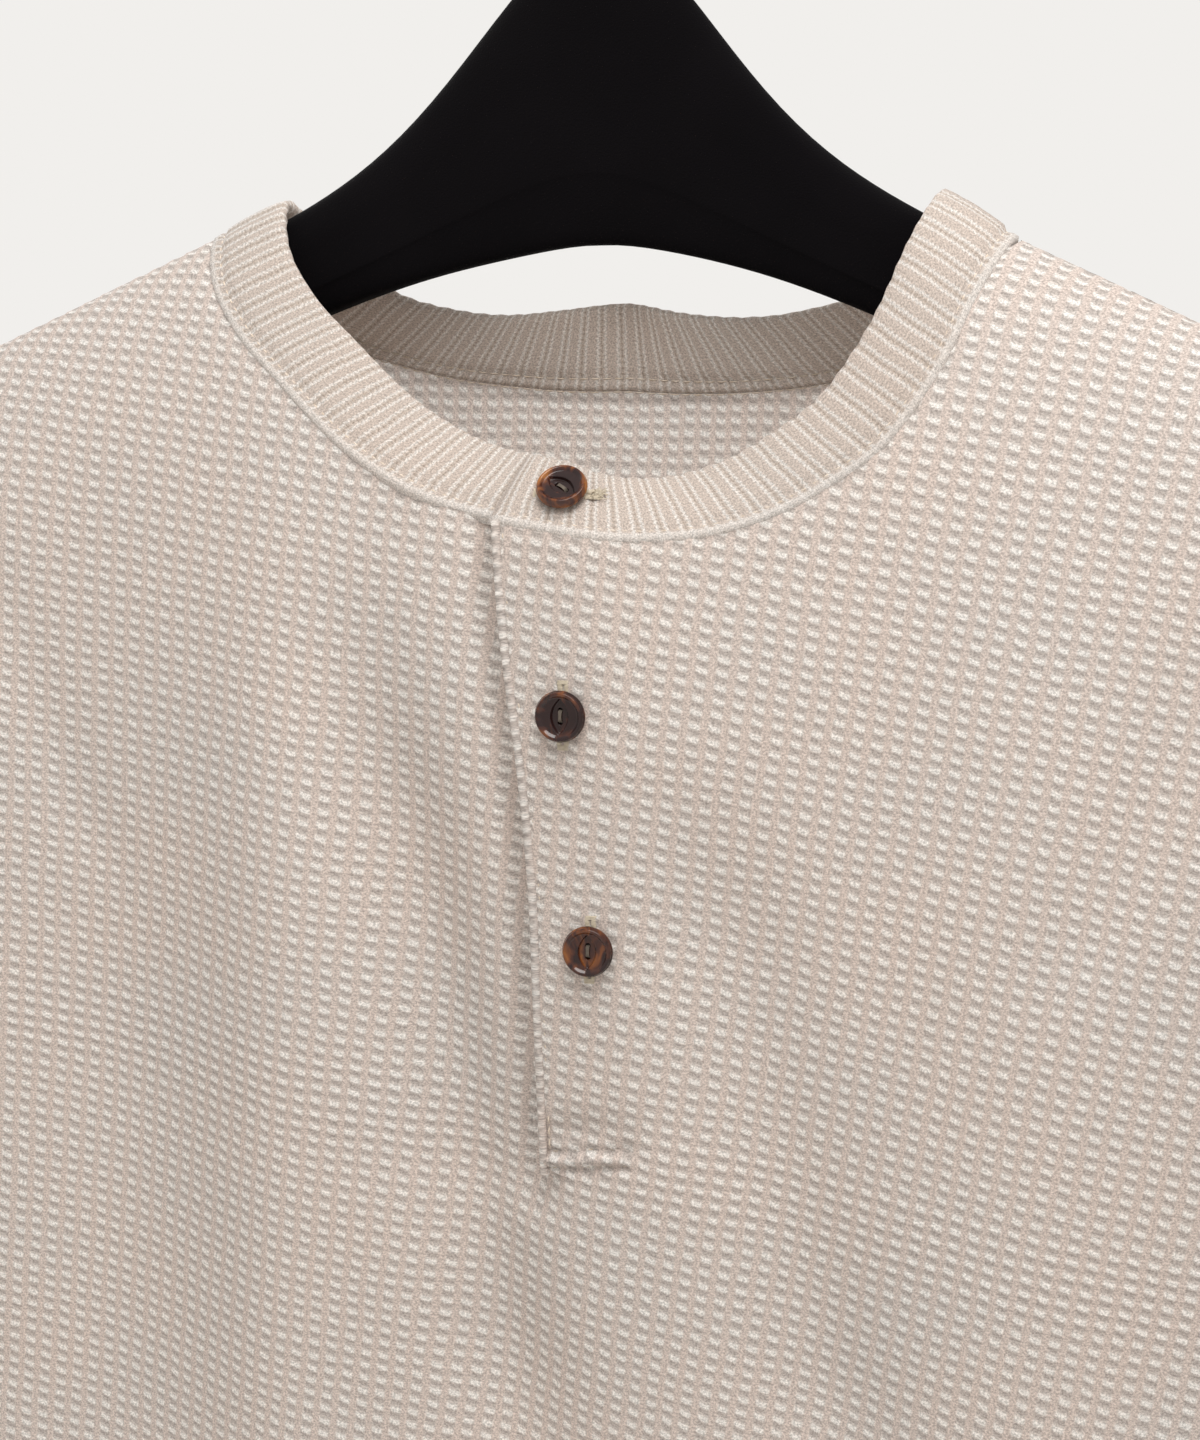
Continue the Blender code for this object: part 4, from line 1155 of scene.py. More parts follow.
@dataclass
class Neckband:
    """The neckband: a doubled strip whose ribs cross it, edge-stitched above its seam."""
    form: TorsoForm
    gauge: Gauge
    cloth: bpy.types.Material
    thread: bpy.types.Material
    width: float = 0.020
    thick: float = 0.0022
    lap: float = 0.026             # how far the two ends lap
    dip: float = 0.0042            # how far behind the upper end the under end lies
    dip_from: float = -0.034       # where the under end starts to sink, in x
    dip_reach: float = 0.024       # and how soon it has sunk
    knots: int = 900               # points along the seam
    edge_row: float = 0.0026       # stitch row above the seam
    row_half: float = 0.0009       # half width of the groove it pulls
    row_depth: float = 0.0007
    crown: float = 0.0006          # how far the band swells half way up
    rib_gain: float = 1.35         # the doubled cloth's ribs stand higher
    uneven: float = 0.00004
    bead_rise: float = 0.0010      # beads of the foot: middle, half height and depth
    bead_half: float = 0.0012
    bead_depth: float = 0.00035
    bead_pitch: float = 0.0029
    end_fade: float = 0.004        # where the ribs flatten towards the ends
    end_tuck: float = 0.0012       # and where the ends close
    tuck_share: float = 0.8
    button_rise: float = 0.52      # the button's place, as a share of the width
    # Lean of the band from upright, by the angle round the neck, 0 at the middle front.
    lean: tuple = ((-180, 8), (-135, 30), (-90, 63), (-45, 52), (0, 42), (45, 52), (90, 58),
                   (135, 30), (180, 8))

    def path(self) -> Array:
        """The neck seam from the upper end of the band round to its under end."""
        form = self.form
        start = float(form.placket_x(form.placket[0][0]))
        limit = form.neck_half
        xs = limit * np.sin(np.linspace(math.asin(start / limit), math.pi / 2, 160))
        right = form.point(xs, form.neck_t(xs, Side.FRONT), Side.FRONT)
        xs = limit * np.sin(np.linspace(math.pi / 2, -math.pi / 2, 280))
        back = form.point(xs, form.neck_t(xs, Side.BACK), Side.BACK)
        stop = start + self.lap - 0.004
        xs = limit * np.sin(np.linspace(-math.pi / 2, math.asin(stop / limit), 200))
        left = form.point(xs, form.neck_t(xs, Side.FRONT), Side.FRONT)
        line = np.concatenate([right[:-1], back, left[1:]])
        line = evenly(line, self.knots)
        returning = (np.arange(self.knots) > self.knots // 2) & (line[:, 1] < 0)
        sinking = (line[:, 0] - self.dip_from) / self.dip_reach
        line[:, 1] += self.dip * smooth_step(sinking) * returning
        return line

    def frame_on(self, line: Array) -> tuple[Array, Array]:
        """Way up the band and way out of it at each point of the seam."""
        angle = np.arctan2(line[:, 0], -line[:, 1])
        lean = np.radians(read_table(np.degrees(angle), np.array(self.lean, float)))
        flat = np.stack([-np.sin(angle), np.cos(angle), 0 * angle], axis=-1)
        up = flat * np.sin(lean)[:, None] + np.array([0, 0, 1.0]) * np.cos(lean)[:, None]
        kernel = np.ones(15) / 15
        ahead = np.gradient(line, axis=0)
        padded = np.pad(ahead, ((7, 7), (0, 0)), mode="edge")
        ahead = np.stack([np.convolve(padded[:, k], kernel, "valid") for k in range(3)], axis=-1)
        return up, unit(np.cross(ahead, up))

    def section(self) -> Array:
        """Rise, depth and flat run of the band's section, from its outer foot over the fold."""
        half = self.gauge.course / 2
        rises = np.arange(0.0, self.width - 0.0008, half)
        outer = [(rise, self.crown * math.sin(math.pi * rise / self.width)) for rise in rises]
        turn = np.radians([60, 20, -20, -60])
        radius = self.thick / 2
        fold = [(self.width - radius * 0.6 + radius * 0.9 * math.cos(a),
                 -radius + radius * math.sin(a)) for a in turn]
        inner = [(rise, -self.thick) for rise in rises[::-1]]
        inner += [(-0.0005, -self.thick * 0.8)]
        foot = [(-0.0006, -0.0020), (-0.0004, -0.0008)]
        points = np.array(foot + outer + fold + inner)
        steps = np.linalg.norm(np.diff(points, axis=0), axis=1)
        run = np.concatenate([[0.0], np.cumsum(steps)])
        return np.column_stack([points, run - run[len(foot)]])

    def build(self) -> list[bpy.types.Object]:
        """Knit the band and sew its edge rows."""
        line = self.path()
        run = arc_lengths(line)
        half = self.gauge.wale / 2
        count = int(run[-1] / half)
        places = np.linspace(0.0, run[-1], count + 1)
        seam = along_line(line, places)
        up, out = self.frame_on(line)
        up, out = (unit(read_rows(way, run, places)) for way in (up, out))
        section = self.section()
        rng = np.random.default_rng(5)
        numbers = np.arange(len(section))
        relief = self.gauge.relief(np.arange(count + 1)[None, :], numbers[:, None])
        relief = relief * self.rib_gain + rng.normal(0.0, self.uneven, relief.shape)
        row = section[:, 0]
        sewn = bell((row - self.edge_row) / self.row_half)[:, None]
        relief = relief * (1 - 0.9 * sewn) - self.row_depth * sewn
        beads = bell((row - self.bead_rise) / self.bead_half)[:, None]
        pinch = 0.75 + 0.25 * np.cos(places / self.bead_pitch * 2 * math.pi)
        relief = relief * (1 - beads) + self.bead_depth * beads * pinch
        ends = np.minimum(places, run[-1] - places)
        relief = relief * smooth_step(ends / self.end_fade)
        facing = np.where(section[:, 1] < -self.thick * 0.9, -1.0, 1.0)[:, None]
        depth = section[:, 1][:, None] + relief * facing
        rise = row[:, None] * np.ones((1, count + 1))
        tucked = (1 - np.clip(ends / self.end_tuck, 0.0, 1.0)) * self.tuck_share
        depth = depth * (1 - tucked) - self.thick / 2 * tucked
        points = seam[None] + up[None] * rise[..., None] + out[None] * depth[..., None]
        flat = np.stack(np.broadcast_arrays(places[None, :], section[:, 2][:, None]), axis=-1)
        parts = Parts()
        parts.add(points, grid_faces(*points.shape[:2])[:, ::-1], flat)
        for column, order in ((0, 1), (count, -1)):
            half_count = len(section) // 2
            ladder = np.stack([points[:half_count, column],
                               points[::-1, column][:half_count]], axis=1)
            cap = grid_faces(half_count, 2)
            parts.add(ladder, cap[:, ::order], np.stack([
                np.zeros((half_count, 2)) + np.array([0.0, 0.002]),
                np.repeat(section[:half_count, 2][:, None], 2, axis=1)], axis=-1))
        band = parts.finish("neckband", self.cloth, Slot.KNIT, weld=True)
        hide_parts("neckband")
        rows = Parts()
        sew = Sewing(radius=0.00020)
        lift = seam + up * self.edge_row
        sew.along(rows, (lift - out * 0.0004)[1:-1], out[1:-1])
        sew.along(rows, (lift - out * (self.thick - 0.0003))[1:-1], -out[1:-1])
        behind = seam[:, 1] > 0.004
        seam_row = seam - up * 0.0006 - out * (self.thick + 0.0002)
        sew.along(rows, seam_row[behind], -out[behind])
        stitches = rows.finish("neckband_stitches", self.thread, Slot.KNIT)
        return [band, stitches]

    def button_place(self, inward: float) -> tuple[Array, Array]:
        """Point and outward normal of the band at a distance in from its upper end."""
        line = self.path()
        up, out = self.frame_on(line)
        i = int(np.searchsorted(arc_lengths(line), inward))
        return line[i] + up[i] * self.width * self.button_rise + out[i] * self.crown, out[i]


@dataclass
class Sleeve:
    """One long sleeve, from the armhole seam to its turned cuff."""
    form: TorsoForm
    gauge: Gauge
    wearer: Wearer
    cloth: bpy.types.Material
    thread: bpy.types.Material
    cuff_depth: float = 0.022
    row_gap: float = 0.0045        # between its two rows of stitches
    underarm_t: float = -0.378     # where the armhole ends on the torso
    passes: int = 8                # rounds it takes to settle the lattice on the form
    uneven: float = 0.00003        # how much the threads' height varies
    head_dip: tuple = (0.0007, 0.0030)     # depth and half width of the dip at the armhole seam
    side_dip: tuple = (0.0006, 0.0025)     # and at the seam under the arm
    crease_fade: float = 0.03      # creases die out this far from the armhole
    coarse_below: float = 0.33     # nearer the cuff a row of points serves a whole course
    tracks: int = 64               # points round half the sleeve
    stations: int = 260
    # Sections: upper x and z, under x and z, and half the depth.
    sections: tuple = (
        (0.2660, -0.2045, 0.2664, -0.3900, 0.0270), (0.3000, -0.2290, 0.2686, -0.4030, 0.0340),
        (0.3370, -0.2730, 0.2690, -0.4210, 0.0390), (0.3610, -0.3350, 0.2690, -0.4460, 0.0410),
        (0.3730, -0.4100, 0.2690, -0.4790, 0.0410), (0.3750, -0.5000, 0.2700, -0.5350, 0.0380),
        (0.3700, -0.5900, 0.2730, -0.6100, 0.0340), (0.3640, -0.6780, 0.2770, -0.6880, 0.0290),
        (0.3580, -0.7500, 0.2810, -0.7540, 0.0240), (0.3550, -0.7960, 0.2830, -0.7960, 0.0210))
    # Creases: place round and length from the cuff at the top, the same at the foot,
    # half width and height.
    creases: tuple[Fold, ...] = (
        (0.020, 0.520, 0.070, 0.420, 0.012, -0.0022),
        (0.060, 0.440, 0.020, 0.330, 0.012, -0.0025),
        (-0.010, 0.360, 0.060, 0.300, 0.010, -0.0024),
        (0.070, 0.330, 0.010, 0.250, 0.011, -0.0022),
        (0.000, 0.230, 0.050, 0.160, 0.010, -0.0018),
        (-0.060, 0.500, -0.020, 0.400, 0.013, -0.0022),
        (-0.080, 0.380, -0.020, 0.310, 0.011, -0.0024),
        (-0.050, 0.270, -0.090, 0.200, 0.010, -0.0020),
        (0.120, 0.500, 0.105, 0.330, 0.016, 0.0025),
        (-0.120, 0.480, -0.110, 0.300, 0.016, 0.0022))

    def half_ring(self, side: Side) -> Array:
        """The armhole's edge down one side of the body, evenly spaced."""
        form = self.form
        t = np.linspace(float(form.ridge_z(np.array(form.shoulder_x))) - GAP, self.underarm_t, 400)
        x = form.edge_x(t)
        line = form.point(x, t, side)
        return evenly(line, self.tracks + 1)

    def surface(self) -> Array:
        """The sleeve's form: stations from the cuff up, points round from the back's underarm
        over the top to the front's."""
        form, count = self.form, self.tracks
        front, back = self.half_ring(Side.FRONT), self.half_ring(Side.BACK)
        rings = [np.concatenate([back[:0:-1], front])]
        turn = np.linspace(-math.pi, math.pi, 721)
        for top_x, top_z, under_x, under_z, half_depth in self.sections:
            top = np.array([top_x, form.ridge_y(np.array(form.shoulder_x)), top_z])
            under = np.array([under_x, form.ridge_y(np.array(form.chest_x)), under_z])
            ring = (top + under) / 2 + np.cos(turn)[:, None] * (top - under) / 2
            ring[:, 1] -= half_depth * np.sin(turn)
            low, high = (evenly(half, count + 1) for half in (ring[:361], ring[360:]))
            rings.append(np.concatenate([low[:-1], high]))
        knots = np.array(rings)[::-1]
        before = np.concatenate([2 * knots[:1] - knots[1:2], knots[:-1]])
        after = np.concatenate([knots[1:], 2 * knots[-1:] - knots[-2:-1]])
        slopes = (after - before) / 2
        share = np.linspace(0, 1, 25)[:-1][:, None, None]
        dense = []
        for i in range(len(knots) - 1):
            h00 = 2 * share ** 3 - 3 * share ** 2 + 1
            h10 = share ** 3 - 2 * share ** 2 + share
            h01 = 3 * share ** 2 - 2 * share ** 3
            h11 = share ** 3 - share ** 2
            dense.append(h00 * knots[i] + h10 * slopes[i] + h01 * knots[i + 1]
                         + h11 * slopes[i + 1])
        dense = np.concatenate(dense + [knots[-1:]])
        tracks = [evenly(dense[:, k], self.stations + 1) for k in range(dense.shape[1])]
        return np.stack(tracks, axis=1)

    def build(self) -> list[bpy.types.Object]:
        """Knit the sleeve, turn its cuff and sew it."""
        grid = self.surface()
        count, stations = self.tracks, self.stations
        track_lengths = np.array([arc_lengths(grid[:, k])[-1] for k in range(2 * count + 1)])
        steps = np.linalg.norm(np.diff(grid, axis=1), axis=-1)
        half_rounds = steps.sum(axis=1) / 2
        shares = np.linspace(0, 1, stations + 1)
        half_w, half_c = self.gauge.wale / 2, self.gauge.course / 2
        columns = np.arange(-math.ceil(half_rounds.max() / half_w) - 1,
                            math.ceil(half_rounds.max() / half_w) + 2)
        numbers = np.arange(0, math.ceil(track_lengths.max() / half_c) + 2)
        numbers = numbers[(numbers * half_c > self.coarse_below) | (numbers % 2 == 0)][::-1]
        u, v = np.meshgrid(columns * half_w, numbers * half_c)
        station = np.clip(v / track_lengths.max(), 0, 1)
        for _ in range(self.passes):
            around = u / np.interp(station, shares, half_rounds)
            track = (np.clip(around, -1, 1) + 1) * count
            length = np.interp(track, np.arange(2 * count + 1), track_lengths)
            station = np.clip(v / length, 0, 1)
        inside = (np.abs(around) < 1) & (v < length)
        keep = cells_touching(inside)
        base, out = self.sample(grid, station, track)
        relief = self.gauge.relief(columns[None, :], numbers[:, None]) * np.ones_like(u)
        rng = np.random.default_rng(3 + self.wearer.value)
        relief += rng.normal(0.0, self.uneven, relief.shape)
        seam = np.minimum(np.maximum(length - v, 0.0), 1.0)
        side_seam = np.interp(station, shares, half_rounds) * np.maximum(1 - np.abs(around), 0)
        for depth, half_width, away in (self.head_dip + (seam,), self.side_dip + (side_seam,)):
            relief -= depth * bell(away / half_width)
        relief += self.form.folds(self.creases, u, v) * smooth_step(seam / self.crease_fade)
        points = base + out * relief[..., None]
        flip = np.array([self.wearer.value, 1, 1])
        faces = grid_faces(*u.shape, keep=keep)
        if self.wearer is Wearer.LEFT:
            faces = faces[:, ::-1]
        parts = Parts()
        parts.add(points * flip, faces, np.stack([u, v], axis=-1))
        tuck_base, tuck_out = self.sample(grid, np.ones(2 * count + 1),
                                          np.arange(2 * count + 1.0))
        inward = np.array([-0.006, 0.0, 0.0])
        tuck = np.stack([tuck_base - tuck_out * 0.0008,
                         tuck_base - tuck_out * 0.0022 + inward * 0.3,
                         tuck_base - tuck_out * 0.0030 + inward])
        tuck_faces = grid_faces(3, 2 * count + 1)
        if self.wearer is Wearer.RIGHT:
            tuck_faces = tuck_faces[:, ::-1]
        parts.add(tuck * flip, tuck_faces, tuck[..., [1, 2]])
        label = self.wearer.name.lower()
        sleeve = parts.finish(f"sleeve_{label}", self.cloth, Slot.KNIT, weld=True)
        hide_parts(f"sleeve_{label}")
        return [sleeve, self.make_cuff(grid, flip, label), self.sew(grid, flip, label)]

    def sample(self, grid: Array, station: Array, track: Array) -> tuple[Array, Array]:
        """Read points and outward normals of the form.

        Args:
            grid: the form.
            station: share of the way up from the cuff.
            track: place round, in tracks.

        Returns:
            Points and outward unit normals.
        """
        normals = unit(np.cross(np.gradient(grid, axis=0), np.gradient(grid, axis=1)))
        middle = grid.mean(axis=1, keepdims=True)
        if np.sum(normals[0] * (grid[0] - middle[0])) < 0:
            normals = -normals
        row = station * self.stations
        i = np.clip(row.astype(int), 0, self.stations - 1)
        k = np.clip(track.astype(int), 0, 2 * self.tracks - 1)
        p, q = (row - i)[..., None], (track - k)[..., None]
        points, out = ((1 - p) * ((1 - q) * rows[i, k] + q * rows[i, k + 1])
                       + p * ((1 - q) * rows[i + 1, k] + q * rows[i + 1, k + 1])
                       for rows in (grid, normals))
        return points, unit(out)

    def make_cuff(self, grid: Array, flip: Array, label: str) -> bpy.types.Object:
        """Turn the cuff up inside, with a rounded fold."""
        section = fold_inward(self.cuff_depth)
        length = arc_lengths(grid[:, self.tracks])[-1]
        track = np.arange(2 * self.tracks, dtype=float)
        rings = []
        for off, up in section:
            at = np.full(len(track), max(up, 0.0) / length)
            base, out = self.sample(grid, at, track)
            rings.append(base + out * off + np.array([0, 0, min(up, 0.0)]))
        points = np.array(rings) * flip
        faces = grid_faces(*points.shape[:2], wrap=True)
        if self.wearer is Wearer.RIGHT:
            faces = faces[:, ::-1]
        run = arc_lengths(points[0])
        places = np.stack(np.broadcast_arrays(
            run[None, :], np.array([up - off for off, up in section])[:, None]), axis=-1)
        parts = Parts()
        parts.add(points, faces, places)
        return parts.finish(f"cuff_{label}", self.cloth, Slot.KNIT)

    def sew(self, grid: Array, flip: Array, label: str) -> bpy.types.Object:
        """Sew two rows above the cuff."""
        parts = Parts()
        length = arc_lengths(grid[:, self.tracks])[-1]
        track = np.linspace(0, 2 * self.tracks, 300)
        for up in (self.cuff_depth, self.cuff_depth - self.row_gap):
            base, out = self.sample(grid, np.full(len(track), up / length), track)
            Sewing().along(parts, base * flip, out * flip)
        return parts.finish(f"stitches_{label}", self.thread, Slot.KNIT)


@dataclass
class Strands:
    """Loose lengths of thread, such as a buttonhole's satin stitches."""
    radius: float = 0.00016
    sides: int = 5

    def add(self, parts: Parts, centre: Array, normal: Array) -> None:
        """Add one strand.

        Args:
            parts: where it is gathered.
            centre: its line of points.
            normal: a way across it.
        """
        forward = unit(np.gradient(centre, axis=0))
        beside = unit(np.cross(forward, normal))
        above = np.cross(beside, forward)
        turn = np.linspace(0, 2 * math.pi, self.sides, endpoint=False)
        ring = (np.cos(turn)[None, :, None] * above[:, None]
                + np.sin(turn)[None, :, None] * beside[:, None])
        points = centre[:, None] + ring * self.radius
        parts.add(points, grid_faces(len(centre), self.sides, wrap=True))


@dataclass
class Button:
    """A two-hole fish-eye button with its thread and its buttonhole."""
    name: str
    place: Array
    out: Array
    slant: float                   # how far the almond recess turns from upright, degrees
    horn: bpy.types.Material
    thread: bpy.types.Material
    hole_thread: bpy.types.Material
    hole_turn: float               # which way the buttonhole runs, degrees from upright
    frayed: bool = False
    radius: float = 0.00575
    thick: float = 0.0030
    eye_half: float = 0.0040
    eye_wide: float = 0.00195
    hole_apart: float = 0.00135
    hole_radius: float = 0.00052
    sunk: float = 0.0006           # how far the face lies below the rim
    carve: float = 0.0009          # how deep the almond recess is cut
    hole_length: float = 0.0156    # of the buttonhole
    hole_shift: float = 0.0012     # how far a frayed one has crept past the button
    stitch_pitch: float = 0.00030
    lane: tuple = (0.00020, 0.00130)   # a side's stitches, from the slit outwards
    bar_tack: float = 0.0012       # length of the stitches across each end
    loose_ends: int = 26

    def axes(self) -> tuple[Array, Array]:
        """Ways across and up the button's face."""
        side = unit(np.cross(self.out, (0.0, 0.0, 1.0)))
        return -side, np.cross(-side, self.out) * -1

    def face(self, a: Array, b: Array) -> Array:
        """Height of the face over the button's seat.

        Args:
            a: place across the recess.
            b: place along the recess.

        Returns:
            The height.
        """
        r = np.hypot(a, b) / self.radius
        rim = self.sunk * smooth_step((0.86 - r) / 0.16)
        roll = 0.0010 * smooth_step((r - 0.90) / 0.10) ** 1.5
        eye = self.eye_wide * (1 - (b / self.eye_half) ** 2)
        carved = smooth_step((eye - np.abs(a)) / 0.00045 + 0.5) * (np.abs(b) < self.eye_half)
        holes = sum(smooth_step((self.hole_radius - np.hypot(a, b - place)) / 0.00018 + 0.5)
                    for place in (-self.hole_apart, self.hole_apart))
        return self.thick - rim - roll - self.carve * carved - 0.0012 * holes

    def build(self) -> list[bpy.types.Object]:
        """Turn the button, thread it and work its buttonhole."""
        side, up = self.axes()
        slant = math.radians(self.slant)
        along = up * math.cos(slant) - side * math.sin(slant)
        across = side * math.cos(slant) + up * math.sin(slant)
        base = self.place + self.out * 2 * GAP
        turn = np.linspace(0, 2 * math.pi, 128, endpoint=False)
        radii = self.radius * np.concatenate([np.linspace(0.002, 0.60, 40),
                                              np.linspace(0.62, 1.0, 34)])
        a = radii[:, None] * np.sin(turn)
        b = radii[:, None] * np.cos(turn)
        height = self.face(a, b)
        under = np.array([(1.0, 0.0014), (0.98, 0.0009), (0.86, 0.0003), (0.5, 0.0001),
                          (0.02, 0.0)])
        ring = self.radius * under[:, :1]
        a = np.concatenate([a, ring * np.sin(turn)])
        b = np.concatenate([b, ring * np.cos(turn)])
        height = np.concatenate([height, under[:, 1:] * np.ones_like(turn)])
        points = (base + a[..., None] * across + b[..., None] * along
                  + height[..., None] * self.out)
        parts = Parts()
        faces = grid_faces(*a.shape, wrap=True)
        first = points[1, 1] - points[0, 0]
        second = points[1, 0] - points[0, 1]
        if np.dot(np.cross(first, second), self.out) < 0:
            faces = faces[:, ::-1]
        parts.add(points, faces, np.stack([a, b], axis=-1))
        last = len(points) - 1
        for row in (0, last):
            rim = row * len(turn) + np.arange(len(turn))
            pairs = len(turn) // 2
            cap = np.array([(rim[i], rim[i + 1], rim[-i - 2], rim[-i - 1])
                            for i in range(pairs - 1)])
            parts.add(np.zeros((0, 3)), cap - parts.count)
        button = parts.finish(self.name, self.horn, Slot.HORN)
        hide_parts(self.name)
        return [button, self.sew(base, across, along), self.work_hole(side, up)]

    def sew(self, base: Array, across: Array, along: Array) -> bpy.types.Object:
        """Thread the button through its two holes."""
        parts = Parts()
        share = np.linspace(-1, 1, 11)
        seat = self.thick - self.sunk - self.carve
        for off in (-0.00036, -0.00012, 0.00012, 0.00036):
            lift = seat + 0.00030 * (1 - np.abs(share) ** 3) - 0.0006 * (np.abs(share) > 0.95)
            centre = (base + along * (share * self.hole_apart)[:, None]
                      + across * (off * (0.7 + 0.3 * share ** 2))[:, None]
                      + self.out * (lift + 0.00005)[:, None])
            Strands(radius=0.00013).add(parts, centre, self.out)
        return parts.finish(f"{self.name}_thread", self.thread, Slot.KNIT)

    def work_hole(self, side: Array, up: Array) -> bpy.types.Object:
        """Work the buttonhole in satin stitch round the button's shank."""
        parts = Parts()
        turn = math.radians(self.hole_turn)
        along = up * math.cos(turn) + side * math.sin(turn)
        across = side * math.cos(turn) - up * math.sin(turn)
        rng = np.random.default_rng(len(self.name) + int(abs(self.slant)))
        end = self.hole_length / 2
        shift = self.hole_shift if self.frayed else 0.0
        near, far = self.lane
        for place in np.arange(-end, end, self.stitch_pitch):
            lanes = ((-far, -near), (near, far))
            if abs(place) > end - self.bar_tack:
                lanes = ((-far - 0.0001, far + 0.0001),)
            for low, high in lanes:
                share = np.linspace(0, 1, 6)
                a = low + (high - low) * share + rng.normal(0, 0.00005)
                lift = 0.0001 + 0.00034 * np.sqrt(np.maximum(1 - (2 * share - 1) ** 4, 0.0))
                centre = (self.place + along * (place + shift + 0.0001 * share[:, None])
                          + across * a[:, None] + self.out * (lift - 0.0002)[:, None])
                Strands().add(parts, centre, self.out)
        if self.frayed:
            for _ in range(self.loose_ends):
                start = rng.normal((0.0, end + shift - 0.0004), (0.0007, 0.0006))
                heading = rng.uniform(0, 2 * math.pi)
                reach = rng.uniform(0.0008, 0.0022)
                share = np.linspace(0, 1, 8)
                bend = rng.uniform(-0.6, 0.6)
                a = start[0] + reach * share * np.cos(heading + bend * share)
                b = start[1] + reach * share * np.sin(heading + bend * share)
                lift = 0.0003 + 0.0007 * np.sin(math.pi * share) * rng.uniform(0.3, 1.0)
                centre = (self.place + along * b[:, None] + across * a[:, None]
                          + self.out * lift[:, None])
                Strands(radius=0.00009).add(parts, centre, self.out)
        return parts.finish(f"{self.name}_hole", self.hole_thread, Slot.KNIT)


@dataclass
class Hanger:
    """A wide hanger with flock over its shaped body, and a plated hook."""
    form: TorsoForm
    flock: bpy.types.Material
    steel: bpy.types.Material
    peak_z: float = -0.062
    hump_height: float = 0.0355
    hump_width: float = 0.038
    hump_x: float = -0.0022
    hump_depth: float = 0.0425
    arm_slope: float = 0.460
    arm_round: float = 0.015
    tip_x: float = 0.222
    height: float = 0.0285
    half_thick: float = 0.0054
    tip_half_thick: float = 0.0066
    taper: float = 0.030
    # Half section: outwards in half thicknesses, down in heights. The flat ends at a bevel.
    half: tuple = ((0.00, 0.00), (0.45, 0.03), (0.80, 0.12), (0.985, 0.30), (0.995, 0.50),
                   (0.98, 0.74), (0.90, 0.80), (0.58, 0.97), (0.00, 1.00))

    def section(self) -> Array:
        """The body's section as a smooth closed ring, in half thicknesses and heights."""
        ring = np.array(list(self.half) + [(-y, z) for y, z in self.half[-2:0:-1]])
        before, after = np.roll(ring, 1, axis=0), np.roll(ring, -1, axis=0)
        beyond = np.roll(ring, -2, axis=0)
        dense = []
        for share in np.linspace(0, 1, 7)[:-1]:
            a = -0.5 * share + share ** 2 - 0.5 * share ** 3
            b = 1 - 2.5 * share ** 2 + 1.5 * share ** 3
            c = 0.5 * share + 2 * share ** 2 - 1.5 * share ** 3
            d = -0.5 * share ** 2 + 0.5 * share ** 3
            dense.append(a * before + b * ring + c * after + d * beyond)
        return np.stack(dense, axis=1).reshape(-1, 2)

    def build(self) -> list[bpy.types.Object]:
        """Shape the body and finish the hook."""
        section = self.section()
        xs = np.sin(np.linspace(-math.pi / 2, math.pi / 2, 181)) * (self.tip_x - 0.0005)
        hump = np.exp(-((xs - self.hump_x) / self.hump_width) ** 2)
        top = (self.peak_z - self.hump_height * (1 - hump)
               - self.arm_slope * (np.hypot(xs, self.arm_round) - self.arm_round))
        tall = self.height + self.hump_depth * hump - self.taper * np.abs(xs)
        half = self.half_thick + (self.tip_half_thick - self.half_thick) * smooth_step(
            np.abs(xs) / self.tip_x)
        close = np.sqrt(np.clip((self.tip_x - np.abs(xs)) / 0.008, 0.0, 1.0))
        middle = top - tall / 2
        out = section[None, :, 0] * (half * close)[:, None]
        down = (section[None, :, 1] - 0.5) * (tall * (0.3 + 0.7 * close))[:, None]
        points = np.stack([xs[:, None] * np.ones_like(out),
                           self.form.ridge_y(xs)[:, None] - out,
                           middle[:, None] - down], axis=-1)
        parts = Parts()
        parts.add(points, grid_faces(*out.shape, wrap=True),
                  np.stack([points[..., 0], points[..., 2]], axis=-1))
        body = parts.finish("hanger_body_flocked", self.flock, Slot.FLOCK)
        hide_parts("hanger_body")
        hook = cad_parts["hanger_hook"]
        hook.data.materials.clear()
        hook.data.materials.append(self.steel)
        return [body]


